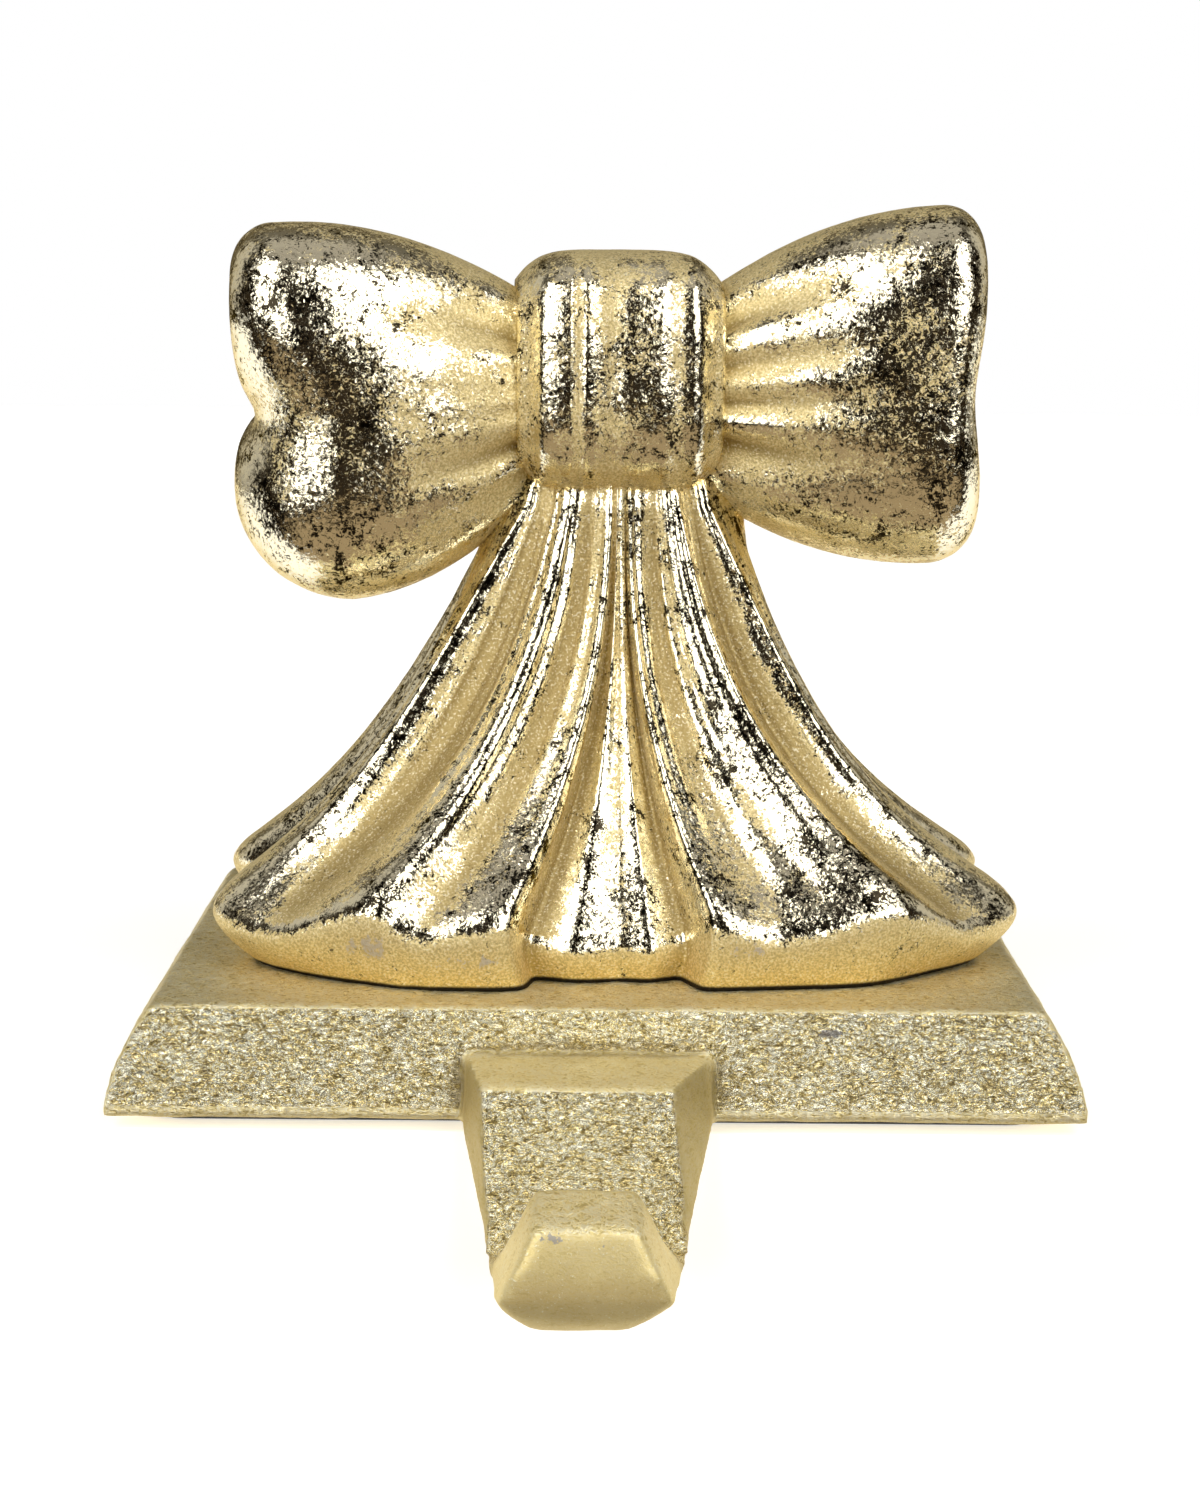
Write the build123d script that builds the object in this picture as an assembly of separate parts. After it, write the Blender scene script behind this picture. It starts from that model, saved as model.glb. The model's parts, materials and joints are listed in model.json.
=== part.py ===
from build123d import *
import os
from math import cos, exp, pi, radians, sin
from typing import NamedTuple

# Mantel stocking holder: a cast ribbon bow screwed to a cast base plate whose arm and hook hang in front.
# Millimetres, +Z up, front towards -Y. The origin is the middle of the felt's underside.

# Felt sheet under the plate
FELT_THICK = 1.5
FELT_MARGIN = 5.0
FELT_CORNER = 4.0

# Base plate
PLATE_WIDTH = 116.0
PLATE_DEPTH = 84.0
PLATE_THICK = 13.2
END_LEAN = 5.6
END_BULGE = 1.1
FACE_LEAN = 2.0
PLATE_EDGE = 0.8

# Arm in front of the plate
ARM_SHIFT = -0.9
ARM_BACK_WIDTH = 28.9
ARM_FRONT_WIDTH = 18.8
ARM_THICK = 9.0
ARM_ROOT_DROP = 5.2
LEDGE_FALL = 1.4
LEDGE_EDGE = 1.5

# Hook at the foot of the arm
HOOK_GAP = 11.0
HOOK_DEPTH = 9.5
HOOK_FLOOR = 6.0
FINGER_THICK = 9.0
FINGER_RISE = 10.0
FINGER_TIP_FALL = 2.6
FINGER_TIP_SET = 1.0
FINGER_ROOT_WIDTH = 21.2
FINGER_TIP_WIDTH = 11.4
FINGER_FRONT_NARROW = 2.6
FINGER_ROUND = 8.0
HOOK_CHIN = 4.5
CHIN_ROUND = 6.0
HOOK_WIDTH = 23.2
HOOK_BOTTOM_WIDTH = 9.6
HOOK_BOTTOM_SHIFT = -0.8
HOOK_SIDE_ROUND = 5.5

# Bow figure
FIGURE_SHIFT = 1.8
FIGURE_TURN = 2.5
NECK_HEIGHT = 56.5
NECK_WIDTH = 33.0
NECK_DEPTH = 28.0
NECK_TUCK = 0.12
TAIL_SPAN = 101.8
TAIL_DEPTH = 70.0
FOOT_INSET_X = 0.12
FOOT_INSET_Y = 0.075
FLARE_FRONT = 2.3
FLARE_LEFT = 0.67
FLARE_RIGHT = 0.54
FOLD_DEPTH = 1.8
FOLD_START = 0.25
HEM_LIP_START = 0.96
HEM_LIP_FALL = 0.14
HEM_WALL_TUCK = 0.3

# Knot
KNOT_WIDTH = 25.6
KNOT_HEIGHT = 30.4
KNOT_DEPTH = 34.0
KNOT_RISE = 16.2
KNOT_ROUND = 3.2
KNOT_SQUARENESS = 2.3
FLUTE_DEPTH = 0.7
KNOT_FACETS = 32

# Loops
LOOP_PINCH_HEIGHT = 20.0
LOOP_PINCH_DEPTH = 20.0
LOOP_PINCH_RISE = 13.3
LOOP_DEPTH = 36.0
LOOP_ROOT = 2.0
LOOP_SQUARENESS = 2.2
LOOP_SQUARER = 0.8
CREASE_FADE = 1.3
CREASE_SPREAD = 0.6
WAIST_SPREAD = 26.0
NOTCH_SPREAD = 28.0
NOTCH_FLOOR = 0.6
LOOP_FACETS = 32

# Screws that hold the figure
SCREW_DIAMETER = 5.0
SCREW_SPACING = 40.0
SCREW_GRIP = 10.0
HEAD_DIAMETER = 9.5
HEAD_HEIGHT = 3.6
HEAD_SLOT = 1.2
HEAD_RECESS = 1.2
SCREW_CLEARANCE = 0.4
HEAD_CLEARANCE = 1.0
THREAD_CLEARANCE = 0.05
HOLE_SPARE = 2.0

PLATE_FOOT = FELT_THICK
PLATE_TOP = PLATE_FOOT + PLATE_THICK
PLATE_FRONT = -PLATE_DEPTH / 2

# Slack when an edge is picked by its place
PICK = 0.01


class Pleat(NamedTuple):
    """One fold line of the tails in the front right quarter, from the neck to the hem."""

    neck_angle: float
    fold: float
    span_share: float
    depth_share: float
    hem_height: float


class Crease(NamedTuple):
    """One fold line on a loop: its turn from the top towards the front, its width and its depth."""

    turn: float
    width: float
    depth: float


class Loop(NamedTuple):
    """One loop of the bow, from the knot outwards."""

    side: int
    length: float
    height: float
    rise: float
    round_top: float
    round_bottom: float
    notch: float
    notch_turn: float
    waist: float
    creases: tuple[Crease, ...]


# From the middle of the front round to the side: panel, wall up to the tail's inner edge, trough, crest,
# trough, crest at the tip, side notch.
RIGHT_PLEATS = (
    Pleat(0.0, 0.0, 0.0, 0.835, 5.2),
    Pleat(1.2, 0.4, 0.075, 0.85, 5.0),
    Pleat(2.4, -1.4, 0.155, 0.81, 5.6),
    Pleat(4.2, 0.9, 0.21, 0.965, 9.2),
    Pleat(10.0, -0.5, 0.31, 0.975, 7.8),
    Pleat(15.0, -1.1, 0.385, 0.965, 7.3),
    Pleat(20.0, -0.2, 0.525, 0.95, 9.2),
    Pleat(25.5, 1.0, 0.68, 0.90, 11.0),
    Pleat(35.0, -0.9, 0.845, 0.72, 6.4),
    Pleat(41.0, 0.9, 0.97, 0.56, 7.4),
    Pleat(50.0, 0.5, 1.0, 0.43, 8.0),
    Pleat(62.0, -0.3, 0.955, 0.25, 8.8),
    Pleat(77.0, -0.6, 0.80, 0.09, 9.4),
    Pleat(90.0, -0.6, 0.74, 0.0, 9.6),
)
LEFT_PLEATS = (
    Pleat(0.0, 0.0, 0.0, 0.835, 5.2),
    Pleat(1.2, 0.4, 0.125, 0.85, 5.0),
    Pleat(2.4, -1.4, 0.23, 0.81, 5.6),
    Pleat(4.2, 0.9, 0.28, 0.965, 9.2),
    Pleat(13.0, -1.0, 0.47, 0.97, 7.4),
    Pleat(18.0, -0.2, 0.55, 0.95, 9.2),
    Pleat(24.0, 1.0, 0.62, 0.93, 11.0),
    Pleat(35.0, -0.9, 0.84, 0.74, 6.2),
    Pleat(42.0, 0.9, 0.97, 0.56, 7.4),
    Pleat(50.0, 0.5, 1.0, 0.43, 8.0),
    Pleat(62.0, -0.3, 0.955, 0.25, 8.8),
    Pleat(77.0, -0.6, 0.80, 0.09, 9.4),
    Pleat(90.0, -0.6, 0.74, 0.0, 9.6),
)

# Across the knot, as a share of its half width: 1 at the foot of a groove, 0 on a ridge.
KNOT_FOLDS = (
    (-1, 0),
    (-0.92, 1.2),
    (-0.76, 0.0),
    (-0.66, 1.0),
    (-0.54, 0.0),
    (-0.41, 1.1),
    (-0.28, 0.0),
    (-0.08, 1.3),
    (0.21, 0.0),
    (0.5, 1.1),
    (0.7, 0.0),
    (0.92, 1.0),
    (1, 0),
)

LEFT_LOOP = Loop(
    side=-1,
    length=47.9,
    height=46.8,
    rise=11.0,
    round_top=6.5,
    round_bottom=14.0,
    notch=2.8,
    notch_turn=92.0,
    waist=1.8,
    creases=(Crease(50.0, 9.0, 2.6), Crease(118.0, 8.0, 2.8), Crease(136.0, 6.0, 1.6)),
)
RIGHT_LOOP = Loop(
    side=1,
    length=44.8,
    height=44.8,
    rise=14.9,
    round_top=5.0,
    round_bottom=9.0,
    notch=1.4,
    notch_turn=95.0,
    waist=0.8,
    creases=(
        Crease(46.0, 7.0, 2.2),
        Crease(72.0, 6.0, 1.6),
        Crease(94.0, 6.0, 1.4),
        Crease(122.0, 9.0, 3.2),
    ),
)


def base_plate() -> Part:
    """The plate: ends that bulge and lean in, front and back with a slight lean."""
    half = PLATE_WIDTH / 2
    lean_mid = END_LEAN / 2 - END_BULGE
    front = Face(
        Wire(
            [
                Edge.make_line((-half, 0, PLATE_FOOT), (half, 0, PLATE_FOOT)),
                Edge.make_three_point_arc(
                    (half, 0, PLATE_FOOT),
                    (half - lean_mid, 0, PLATE_FOOT + PLATE_THICK / 2),
                    (half - END_LEAN, 0, PLATE_TOP),
                ),
                Edge.make_line((half - END_LEAN, 0, PLATE_TOP), (END_LEAN - half, 0, PLATE_TOP)),
                Edge.make_three_point_arc(
                    (END_LEAN - half, 0, PLATE_TOP),
                    (lean_mid - half, 0, PLATE_FOOT + PLATE_THICK / 2),
                    (-half, 0, PLATE_FOOT),
                ),
            ]
        )
    )
    across = extrude(front, amount=PLATE_DEPTH, dir=(0, 1, 0), both=True)
    reach = PLATE_DEPTH / 2
    side = Face(
        Wire.make_polygon(
            [
                (0, -reach, PLATE_FOOT),
                (0, reach, PLATE_FOOT),
                (0, reach - FACE_LEAN, PLATE_TOP),
                (0, FACE_LEAN - reach, PLATE_TOP),
            ]
        )
    )
    plate = across & extrude(side, amount=PLATE_WIDTH, dir=(1, 0, 0), both=True)
    rim = plate.edges().filter_by_position(Axis.Z, PLATE_TOP - PICK, PLATE_TOP + PICK)
    return fillet(rim, PLATE_EDGE)


def side_cut(point: tuple, outward: tuple, front_y: float, back_y: float) -> Part:
    """What lies outside a slanting side plane, between two planes across the arm."""
    reach = 4 * ARM_BACK_WIDTH
    plane = Plane(origin=point, z_dir=outward)
    beyond = plane * Box(reach, reach, reach, align=(Align.CENTER, Align.CENTER, Align.MIN))
    band = Pos(0, (front_y + back_y) / 2, 0) * Box(2 * reach, back_y - front_y, 2 * reach)
    return beyond & band


def arm_and_hook() -> Part:
    """The arm in front of the plate and the hook at its foot, as one J with tapered sides."""
    back = PLATE_FRONT
    front = back - ARM_THICK
    finger_back = front - HOOK_GAP
    finger_front = finger_back - FINGER_THICK
    root_top = PLATE_TOP - ARM_ROOT_DROP
    floor = -HOOK_DEPTH
    bottom = floor - HOOK_FLOOR
    tip = floor + FINGER_RISE
    gap_radius = HOOK_GAP / 2
    inside = back + FACE_LEAN + PLATE_EDGE
    throat_front = (finger_back, floor + gap_radius)
    throat_back = (front, floor + gap_radius)
    with BuildSketch(Plane.YZ) as profile:
        with BuildLine():
            Polyline(
                throat_front,
                (finger_back, tip),
                (finger_front + FINGER_TIP_SET, tip - FINGER_TIP_FALL),
                (finger_front, floor),
                (finger_front + HOOK_CHIN, bottom),
                (back - HOOK_CHIN, bottom),
                (back, floor),
                (back, PLATE_FOOT),
                (inside, PLATE_FOOT),
                (inside, root_top),
                (back, root_top),
                (front, root_top - LEDGE_FALL),
                throat_back,
            )
            ThreePointArc(throat_back, (front - gap_radius, floor), throat_front)
        make_face()
    body = extrude(profile.sketch, amount=ARM_BACK_WIDTH / 2, both=True)
    across = body.edges().filter_by(Axis.X)
    body = fillet(across.filter_by_position(Axis.Z, bottom - PICK, bottom + PICK), CHIN_ROUND)
    across = body.edges().filter_by(Axis.X)
    shin = across.filter_by_position(Axis.Y, finger_front - PICK, finger_front + PICK)
    body = fillet(shin, FINGER_ROUND)
    upright = body.edges().filter_by(Axis.X).filter_by_position(Axis.Y, front - PICK, front + PICK)
    body = fillet(upright.sort_by(Axis.Z)[-1:], LEDGE_EDGE)
    with BuildSketch(Plane.XZ) as outline:
        with BuildLine():
            Polyline(
                (-ARM_BACK_WIDTH / 2, root_top),
                (-ARM_BACK_WIDTH / 2, PLATE_FOOT),
                (-HOOK_WIDTH / 2, floor),
                (HOOK_BOTTOM_SHIFT - HOOK_BOTTOM_WIDTH / 2, bottom),
                (HOOK_BOTTOM_SHIFT + HOOK_BOTTOM_WIDTH / 2, bottom),
                (HOOK_WIDTH / 2, floor),
                (ARM_BACK_WIDTH / 2, PLATE_FOOT),
                (ARM_BACK_WIDTH / 2, root_top),
                close=True,
            )
        make_face()
        corners = outline.vertices().filter_by_position(Axis.Z, bottom - PICK, floor + PICK)
        fillet(corners, HOOK_SIDE_ROUND)
    body &= extrude(outline.sketch, amount=2 * PLATE_DEPTH, both=True)
    narrow = (ARM_BACK_WIDTH - ARM_FRONT_WIDTH) / (2 * ARM_THICK)
    spread = (HOOK_WIDTH - ARM_FRONT_WIDTH) / (2 * (root_top - floor))
    fall = (FINGER_ROOT_WIDTH - FINGER_TIP_WIDTH) / 2
    for side in (-1, 1):
        body -= side_cut((side * ARM_BACK_WIDTH / 2, back, root_top), (side, -narrow, spread), front, back)
        body -= side_cut(
            (side * FINGER_ROOT_WIDTH / 2, finger_back, floor),
            (side, -FINGER_FRONT_NARROW / (2 * FINGER_THICK), fall / FINGER_RISE),
            finger_front,
            front,
        )
    return Pos(ARM_SHIFT, 0, 0) * body


def screw_places() -> list[tuple[float, float]]:
    """Where the two screws stand, in plan."""
    turn = radians(FIGURE_TURN)
    reaches = (-SCREW_SPACING / 2, SCREW_SPACING / 2)
    return [(FIGURE_SHIFT + reach * cos(turn), reach * sin(turn)) for reach in reaches]


def head_seat() -> float:
    """Height of the recess floor that the screw heads bear on."""
    return PLATE_FOOT + HEAD_RECESS + HEAD_HEIGHT


def standing(x: float, y: float, z: float, diameter: float, height: float) -> Part:
    """A vertical cylinder on its lower face."""
    return Pos(x, y, z) * Cylinder(diameter / 2, height, align=(Align.CENTER, Align.CENTER, Align.MIN))


def base_casting() -> Part:
    """Plate, arm and hook in one, drilled and recessed from below for the screws."""
    body = base_plate() + arm_and_hook()
    for x, y in screw_places():
        body -= standing(x, y, PLATE_FOOT, HEAD_DIAMETER + HEAD_CLEARANCE, head_seat() - PLATE_FOOT)
        body -= standing(x, y, PLATE_FOOT, SCREW_DIAMETER + SCREW_CLEARANCE, PLATE_THICK)
    return body


def pleat_point(pleat: Pleat, flare_side: float, down: float) -> tuple[float, float, float]:
    """A point of one fold line: `down` is 0 at the neck, 1 at the hem and negative above the neck."""
    turn = radians(pleat.neck_angle)
    lift = FOLD_DEPTH * pleat.fold
    if down <= 0:
        lift *= FOLD_START * (1 + down)
        flare = 0.0
    else:
        lift *= FOLD_START * (1 - down) + (1 - FOLD_START) * sin(pi * down)
        side_flare = down * (flare_side + (1 - flare_side) * down**3)
        sideways = pleat.span_share**2
        flare = (1 - sideways) * down**FLARE_FRONT + sideways * side_flare
    gather = 1 + min(down, 0)
    neck_x = gather * NECK_WIDTH / 2 * sin(turn)
    neck_y = -gather * NECK_DEPTH / 2 * cos(turn)
    hem_x = pleat.span_share * TAIL_SPAN / 2
    hem_y = -pleat.depth_share * TAIL_DEPTH / 2
    height = NECK_HEIGHT - down * (NECK_HEIGHT - (pleat.hem_height if down > 0 else 0))
    return (
        neck_x + (hem_x - neck_x) * flare + lift * sin(turn),
        neck_y + (hem_y - neck_y) * flare - lift * cos(turn),
        height,
    )


def around(down: float, inset: float = 0.0, rise: float = 1.0) -> list[Vector]:
    """One outline of the tails: right side from front to back, then left side from back to front.

    Below the hem it is drawn in by a share of the foot's inset, at a share of the hem's height.
    """
    halves = []
    for side, pleats, flare in ((1, RIGHT_PLEATS, FLARE_RIGHT), (-1, LEFT_PLEATS, FLARE_LEFT)):
        front = [pleat_point(pleat, flare, down) for pleat in pleats]
        back = [(x, -y, z) for x, y, z in reversed(front[:-1])]
        halves.append([(side * x, y, z) for x, y, z in front + back])
    right, left = halves
    points = right + left[-2:0:-1]
    keep_x = 1 - FOOT_INSET_X * inset
    keep_y = 1 - FOOT_INSET_Y * inset
    return [Vector(x * keep_x, y * keep_y, z * rise) for x, y, z in points]


def facet_ring(points: list[Vector], rounds: int = 0) -> Wire:
    """A closed outline of short straight edges; each round puts a smooth new point between two others."""
    for _ in range(rounds):
        finer = []
        for index, here in enumerate(points):
            before, after, beyond = (points[(index + step) % len(points)] for step in (-1, 1, 2))
            finer += [here, ((here + after) * 9 - before - beyond) / 16]
        points = finer
    return Wire.make_polygon(points, close=True)


def tails() -> Solid:
    """The gathered tails: folds that flare from the neck to a waved hem, and a wall drawn in below it."""
    downs = (-NECK_TUCK, 0.0, 0.1, 0.21, 0.32, 0.43, 0.54, 0.65, 0.76, 0.87, HEM_LIP_START)
    folds = [facet_ring(around(down), 1) for down in downs]
    lip = facet_ring(around(1.0, 0.0, 1 - HEM_LIP_FALL), 1)
    half_way = facet_ring(around(1.0, HEM_WALL_TUCK, 0.5), 1)
    foot = facet_ring(around(1.0, 1.0, 0.0), 1)
    return Solid.make_loft([*folds, lip, half_way, foot], ruled=True)


def oval(turn: float, half_depth: float, half_height: float, power: float) -> float:
    """Radius of a squarish oval at a turn from the top towards the front."""
    flat = abs(sin(turn) / half_depth) ** power + abs(cos(turn) / half_height) ** power
    return flat ** (-1 / power)


def loop_outline(loop: Loop, out: float, around_end: float) -> list[Vector]:
    """One outline of a loop: `out` from 0 at the knot to 1 at the shoulder, then a turn round the end."""
    start = KNOT_WIDTH / 2 - KNOT_ROUND - LOOP_ROOT
    swell = 1 - (1 - out) ** 2
    half_height = (LOOP_PINCH_HEIGHT + (loop.height - LOOP_PINCH_HEIGHT) * swell) / 2
    half_depth = (LOOP_PINCH_DEPTH + (LOOP_DEPTH - LOOP_PINCH_DEPTH) * swell) / 2
    middle = NECK_HEIGHT + LOOP_PINCH_RISE + (loop.rise - LOOP_PINCH_RISE) * out
    fade = (1 - out) ** CREASE_FADE
    squareness = LOOP_SQUARENESS + LOOP_SQUARER * out
    bend = radians(around_end)
    points = []
    for index in range(LOOP_FACETS):
        degrees = 360 * index / LOOP_FACETS
        turn = radians(degrees)
        facing = min(degrees, 360 - degrees)
        end_round = loop.round_top + (loop.round_bottom - loop.round_top) * (1 - cos(turn)) / 2
        radius = oval(turn, half_depth, half_height, squareness) - end_round * (1 - cos(bend))
        radius -= loop.waist * out**2 * exp(-(((facing - loop.notch_turn) / WAIST_SPREAD) ** 2))
        for crease in loop.creases:
            width = crease.width * (1 + CREASE_SPREAD * out)
            radius -= crease.depth * fade * exp(-(((facing - crease.turn) / width) ** 2))
        notch = loop.notch * around_end / 90 * exp(-(((facing - loop.notch_turn) / NOTCH_SPREAD) ** 2))
        x = start + (loop.length - end_round - start) * out + end_round * sin(bend) - notch
        points.append(Vector(loop.side * x, -radius * sin(turn), middle + radius * cos(turn)))
    return points


def bow_loop(loop: Loop) -> Solid:
    """A puffed loop, pinched at the knot, with a soft round end that dips to a shallow notch."""
    outlines = [loop_outline(loop, out, 0) for out in (0.0, 0.1, 0.2, 0.3, 0.42, 0.56, 0.7, 0.85, 1.0)]
    outlines += [loop_outline(loop, 1.0, turn) for turn in (30, 60, 90)]
    floor_x = loop.side * (loop.length - loop.notch)
    hub = Vector(0, 0, NECK_HEIGHT + loop.rise)
    patch = [hub + (point - hub) * NOTCH_FLOOR for point in outlines[-1]]
    outlines.append([Vector(floor_x, point.Y, point.Z) for point in patch])
    return Solid.make_loft([facet_ring(outline) for outline in outlines], ruled=True)


def knot() -> Solid:
    """The knot: a short barrel across the middle with upright flutes and round ends."""
    middle = NECK_HEIGHT + KNOT_RISE
    rings = []
    for place, sunk in KNOT_FOLDS:
        draw_in = sunk * FLUTE_DEPTH + KNOT_ROUND * abs(place) ** 6
        points = []
        for index in range(KNOT_FACETS):
            turn = 2 * pi * index / KNOT_FACETS
            radius = oval(turn, KNOT_DEPTH / 2 - draw_in, KNOT_HEIGHT / 2 - draw_in, KNOT_SQUARENESS)
            points.append(Vector(place * KNOT_WIDTH / 2, -radius * sin(turn), middle + radius * cos(turn)))
        rings.append(facet_ring(points))
    return Solid.make_loft(rings, ruled=True)


def bow_figure() -> Part:
    """The bow in one casting: tails, loops and knot, with blind holes for the screws in its foot."""
    body = tails() + bow_loop(LEFT_LOOP) + bow_loop(RIGHT_LOOP) + knot()
    body = Pos(FIGURE_SHIFT, 0, PLATE_TOP) * Rot(0, 0, FIGURE_TURN) * body
    for x, y in screw_places():
        body -= standing(x, y, PLATE_TOP, SCREW_DIAMETER + 2 * THREAD_CLEARANCE, SCREW_GRIP + HOLE_SPARE)
    return body


def fixing_screws() -> Compound:
    """Two pan-head screws from below, each with a cross recess."""
    screws = []
    seat = head_seat()
    recess = Box(HEAD_DIAMETER / 2, HEAD_SLOT, HEAD_HEIGHT)
    for x, y in screw_places():
        head = standing(x, y, seat - HEAD_HEIGHT, HEAD_DIAMETER, HEAD_HEIGHT)
        for turn in (0, 90):
            head -= Pos(x, y, seat - HEAD_HEIGHT) * Rot(0, 0, turn) * recess
        screws.append(head + standing(x, y, seat, SCREW_DIAMETER, PLATE_TOP + SCREW_GRIP - seat))
    return Compound(children=screws)


def felt_pad() -> Part:
    """The felt sheet glued under the plate, set in from its edges."""
    sheet = RectangleRounded(PLATE_WIDTH - 2 * FELT_MARGIN, PLATE_DEPTH - 2 * FELT_MARGIN, FELT_CORNER)
    return extrude(sheet, amount=FELT_THICK)


if __name__ == "__main__":
    os.makedirs("parts", exist_ok=True)
    export_step(base_casting(), "parts/base_casting.step")
    export_step(bow_figure(), "parts/bow_figure.step")
    export_step(fixing_screws(), "parts/fixing_screws.step")
    export_step(felt_pad(), "parts/felt_pad.step")
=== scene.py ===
"""Looks of a mantel stocking holder: a leafed ribbon bow on a rough cast base with an arm and a hook.

Sizes in the classes are in millimetres. Meshes are in metres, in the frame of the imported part.
"""

import functools
import json
import logging
import math
from collections.abc import Callable
from dataclasses import dataclass
from enum import Enum
from typing import Any, NamedTuple

import bmesh
import bpy
import numpy as np
from mathutils import Euler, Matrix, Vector

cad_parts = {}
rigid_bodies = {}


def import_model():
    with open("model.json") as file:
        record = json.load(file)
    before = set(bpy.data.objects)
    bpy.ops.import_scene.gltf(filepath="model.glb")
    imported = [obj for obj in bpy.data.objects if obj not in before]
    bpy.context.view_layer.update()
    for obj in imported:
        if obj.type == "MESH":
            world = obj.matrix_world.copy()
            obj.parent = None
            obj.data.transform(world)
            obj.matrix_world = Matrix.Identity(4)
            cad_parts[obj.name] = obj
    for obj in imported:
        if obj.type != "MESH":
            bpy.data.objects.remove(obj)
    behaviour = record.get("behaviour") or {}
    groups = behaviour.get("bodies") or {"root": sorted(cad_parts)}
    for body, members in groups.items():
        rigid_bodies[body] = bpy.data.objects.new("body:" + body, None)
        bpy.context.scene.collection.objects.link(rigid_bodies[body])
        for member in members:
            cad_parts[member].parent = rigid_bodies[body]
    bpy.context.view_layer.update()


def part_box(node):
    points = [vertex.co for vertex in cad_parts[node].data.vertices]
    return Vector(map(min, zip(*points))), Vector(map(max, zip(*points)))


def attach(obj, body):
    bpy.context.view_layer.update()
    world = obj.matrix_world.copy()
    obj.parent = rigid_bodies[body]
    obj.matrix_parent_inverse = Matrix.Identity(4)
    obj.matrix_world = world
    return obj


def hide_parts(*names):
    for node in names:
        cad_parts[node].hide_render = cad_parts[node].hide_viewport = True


MM = 0.001
BODY = "root"
IMAGE_LONG_SIDE = 1485
SENSOR = 36.0
MERGE = 0.01
LOOKS_DOWN = -0.97
TINY = 1e-9
NOISE_MEAN = 0.5
Triple = tuple[float, float, float]
Colour = Triple
Inputs = dict[Any, Any]
log = logging.getLogger("stocking_holder")


class Side(Enum):
    """The two sides of the bow, as the viewer sees them."""

    LEFT = -1
    RIGHT = 1


class Band(NamedTuple):
    """A smooth step: the value where it starts at 0 and the one where it reaches 1."""

    low: float
    high: float


class Layer(NamedTuple):
    """How one colour is laid over another: the step that brings it in, and its greatest share."""

    band: Band
    share: float = 1.0


class Speckle(NamedTuple):
    """A soft noise: its features' size in millimetres, its finer layers, their strength and its warp."""

    size: float
    detail: float = 2.0
    rough: float = 0.5
    warp: float = 0.0


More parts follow.
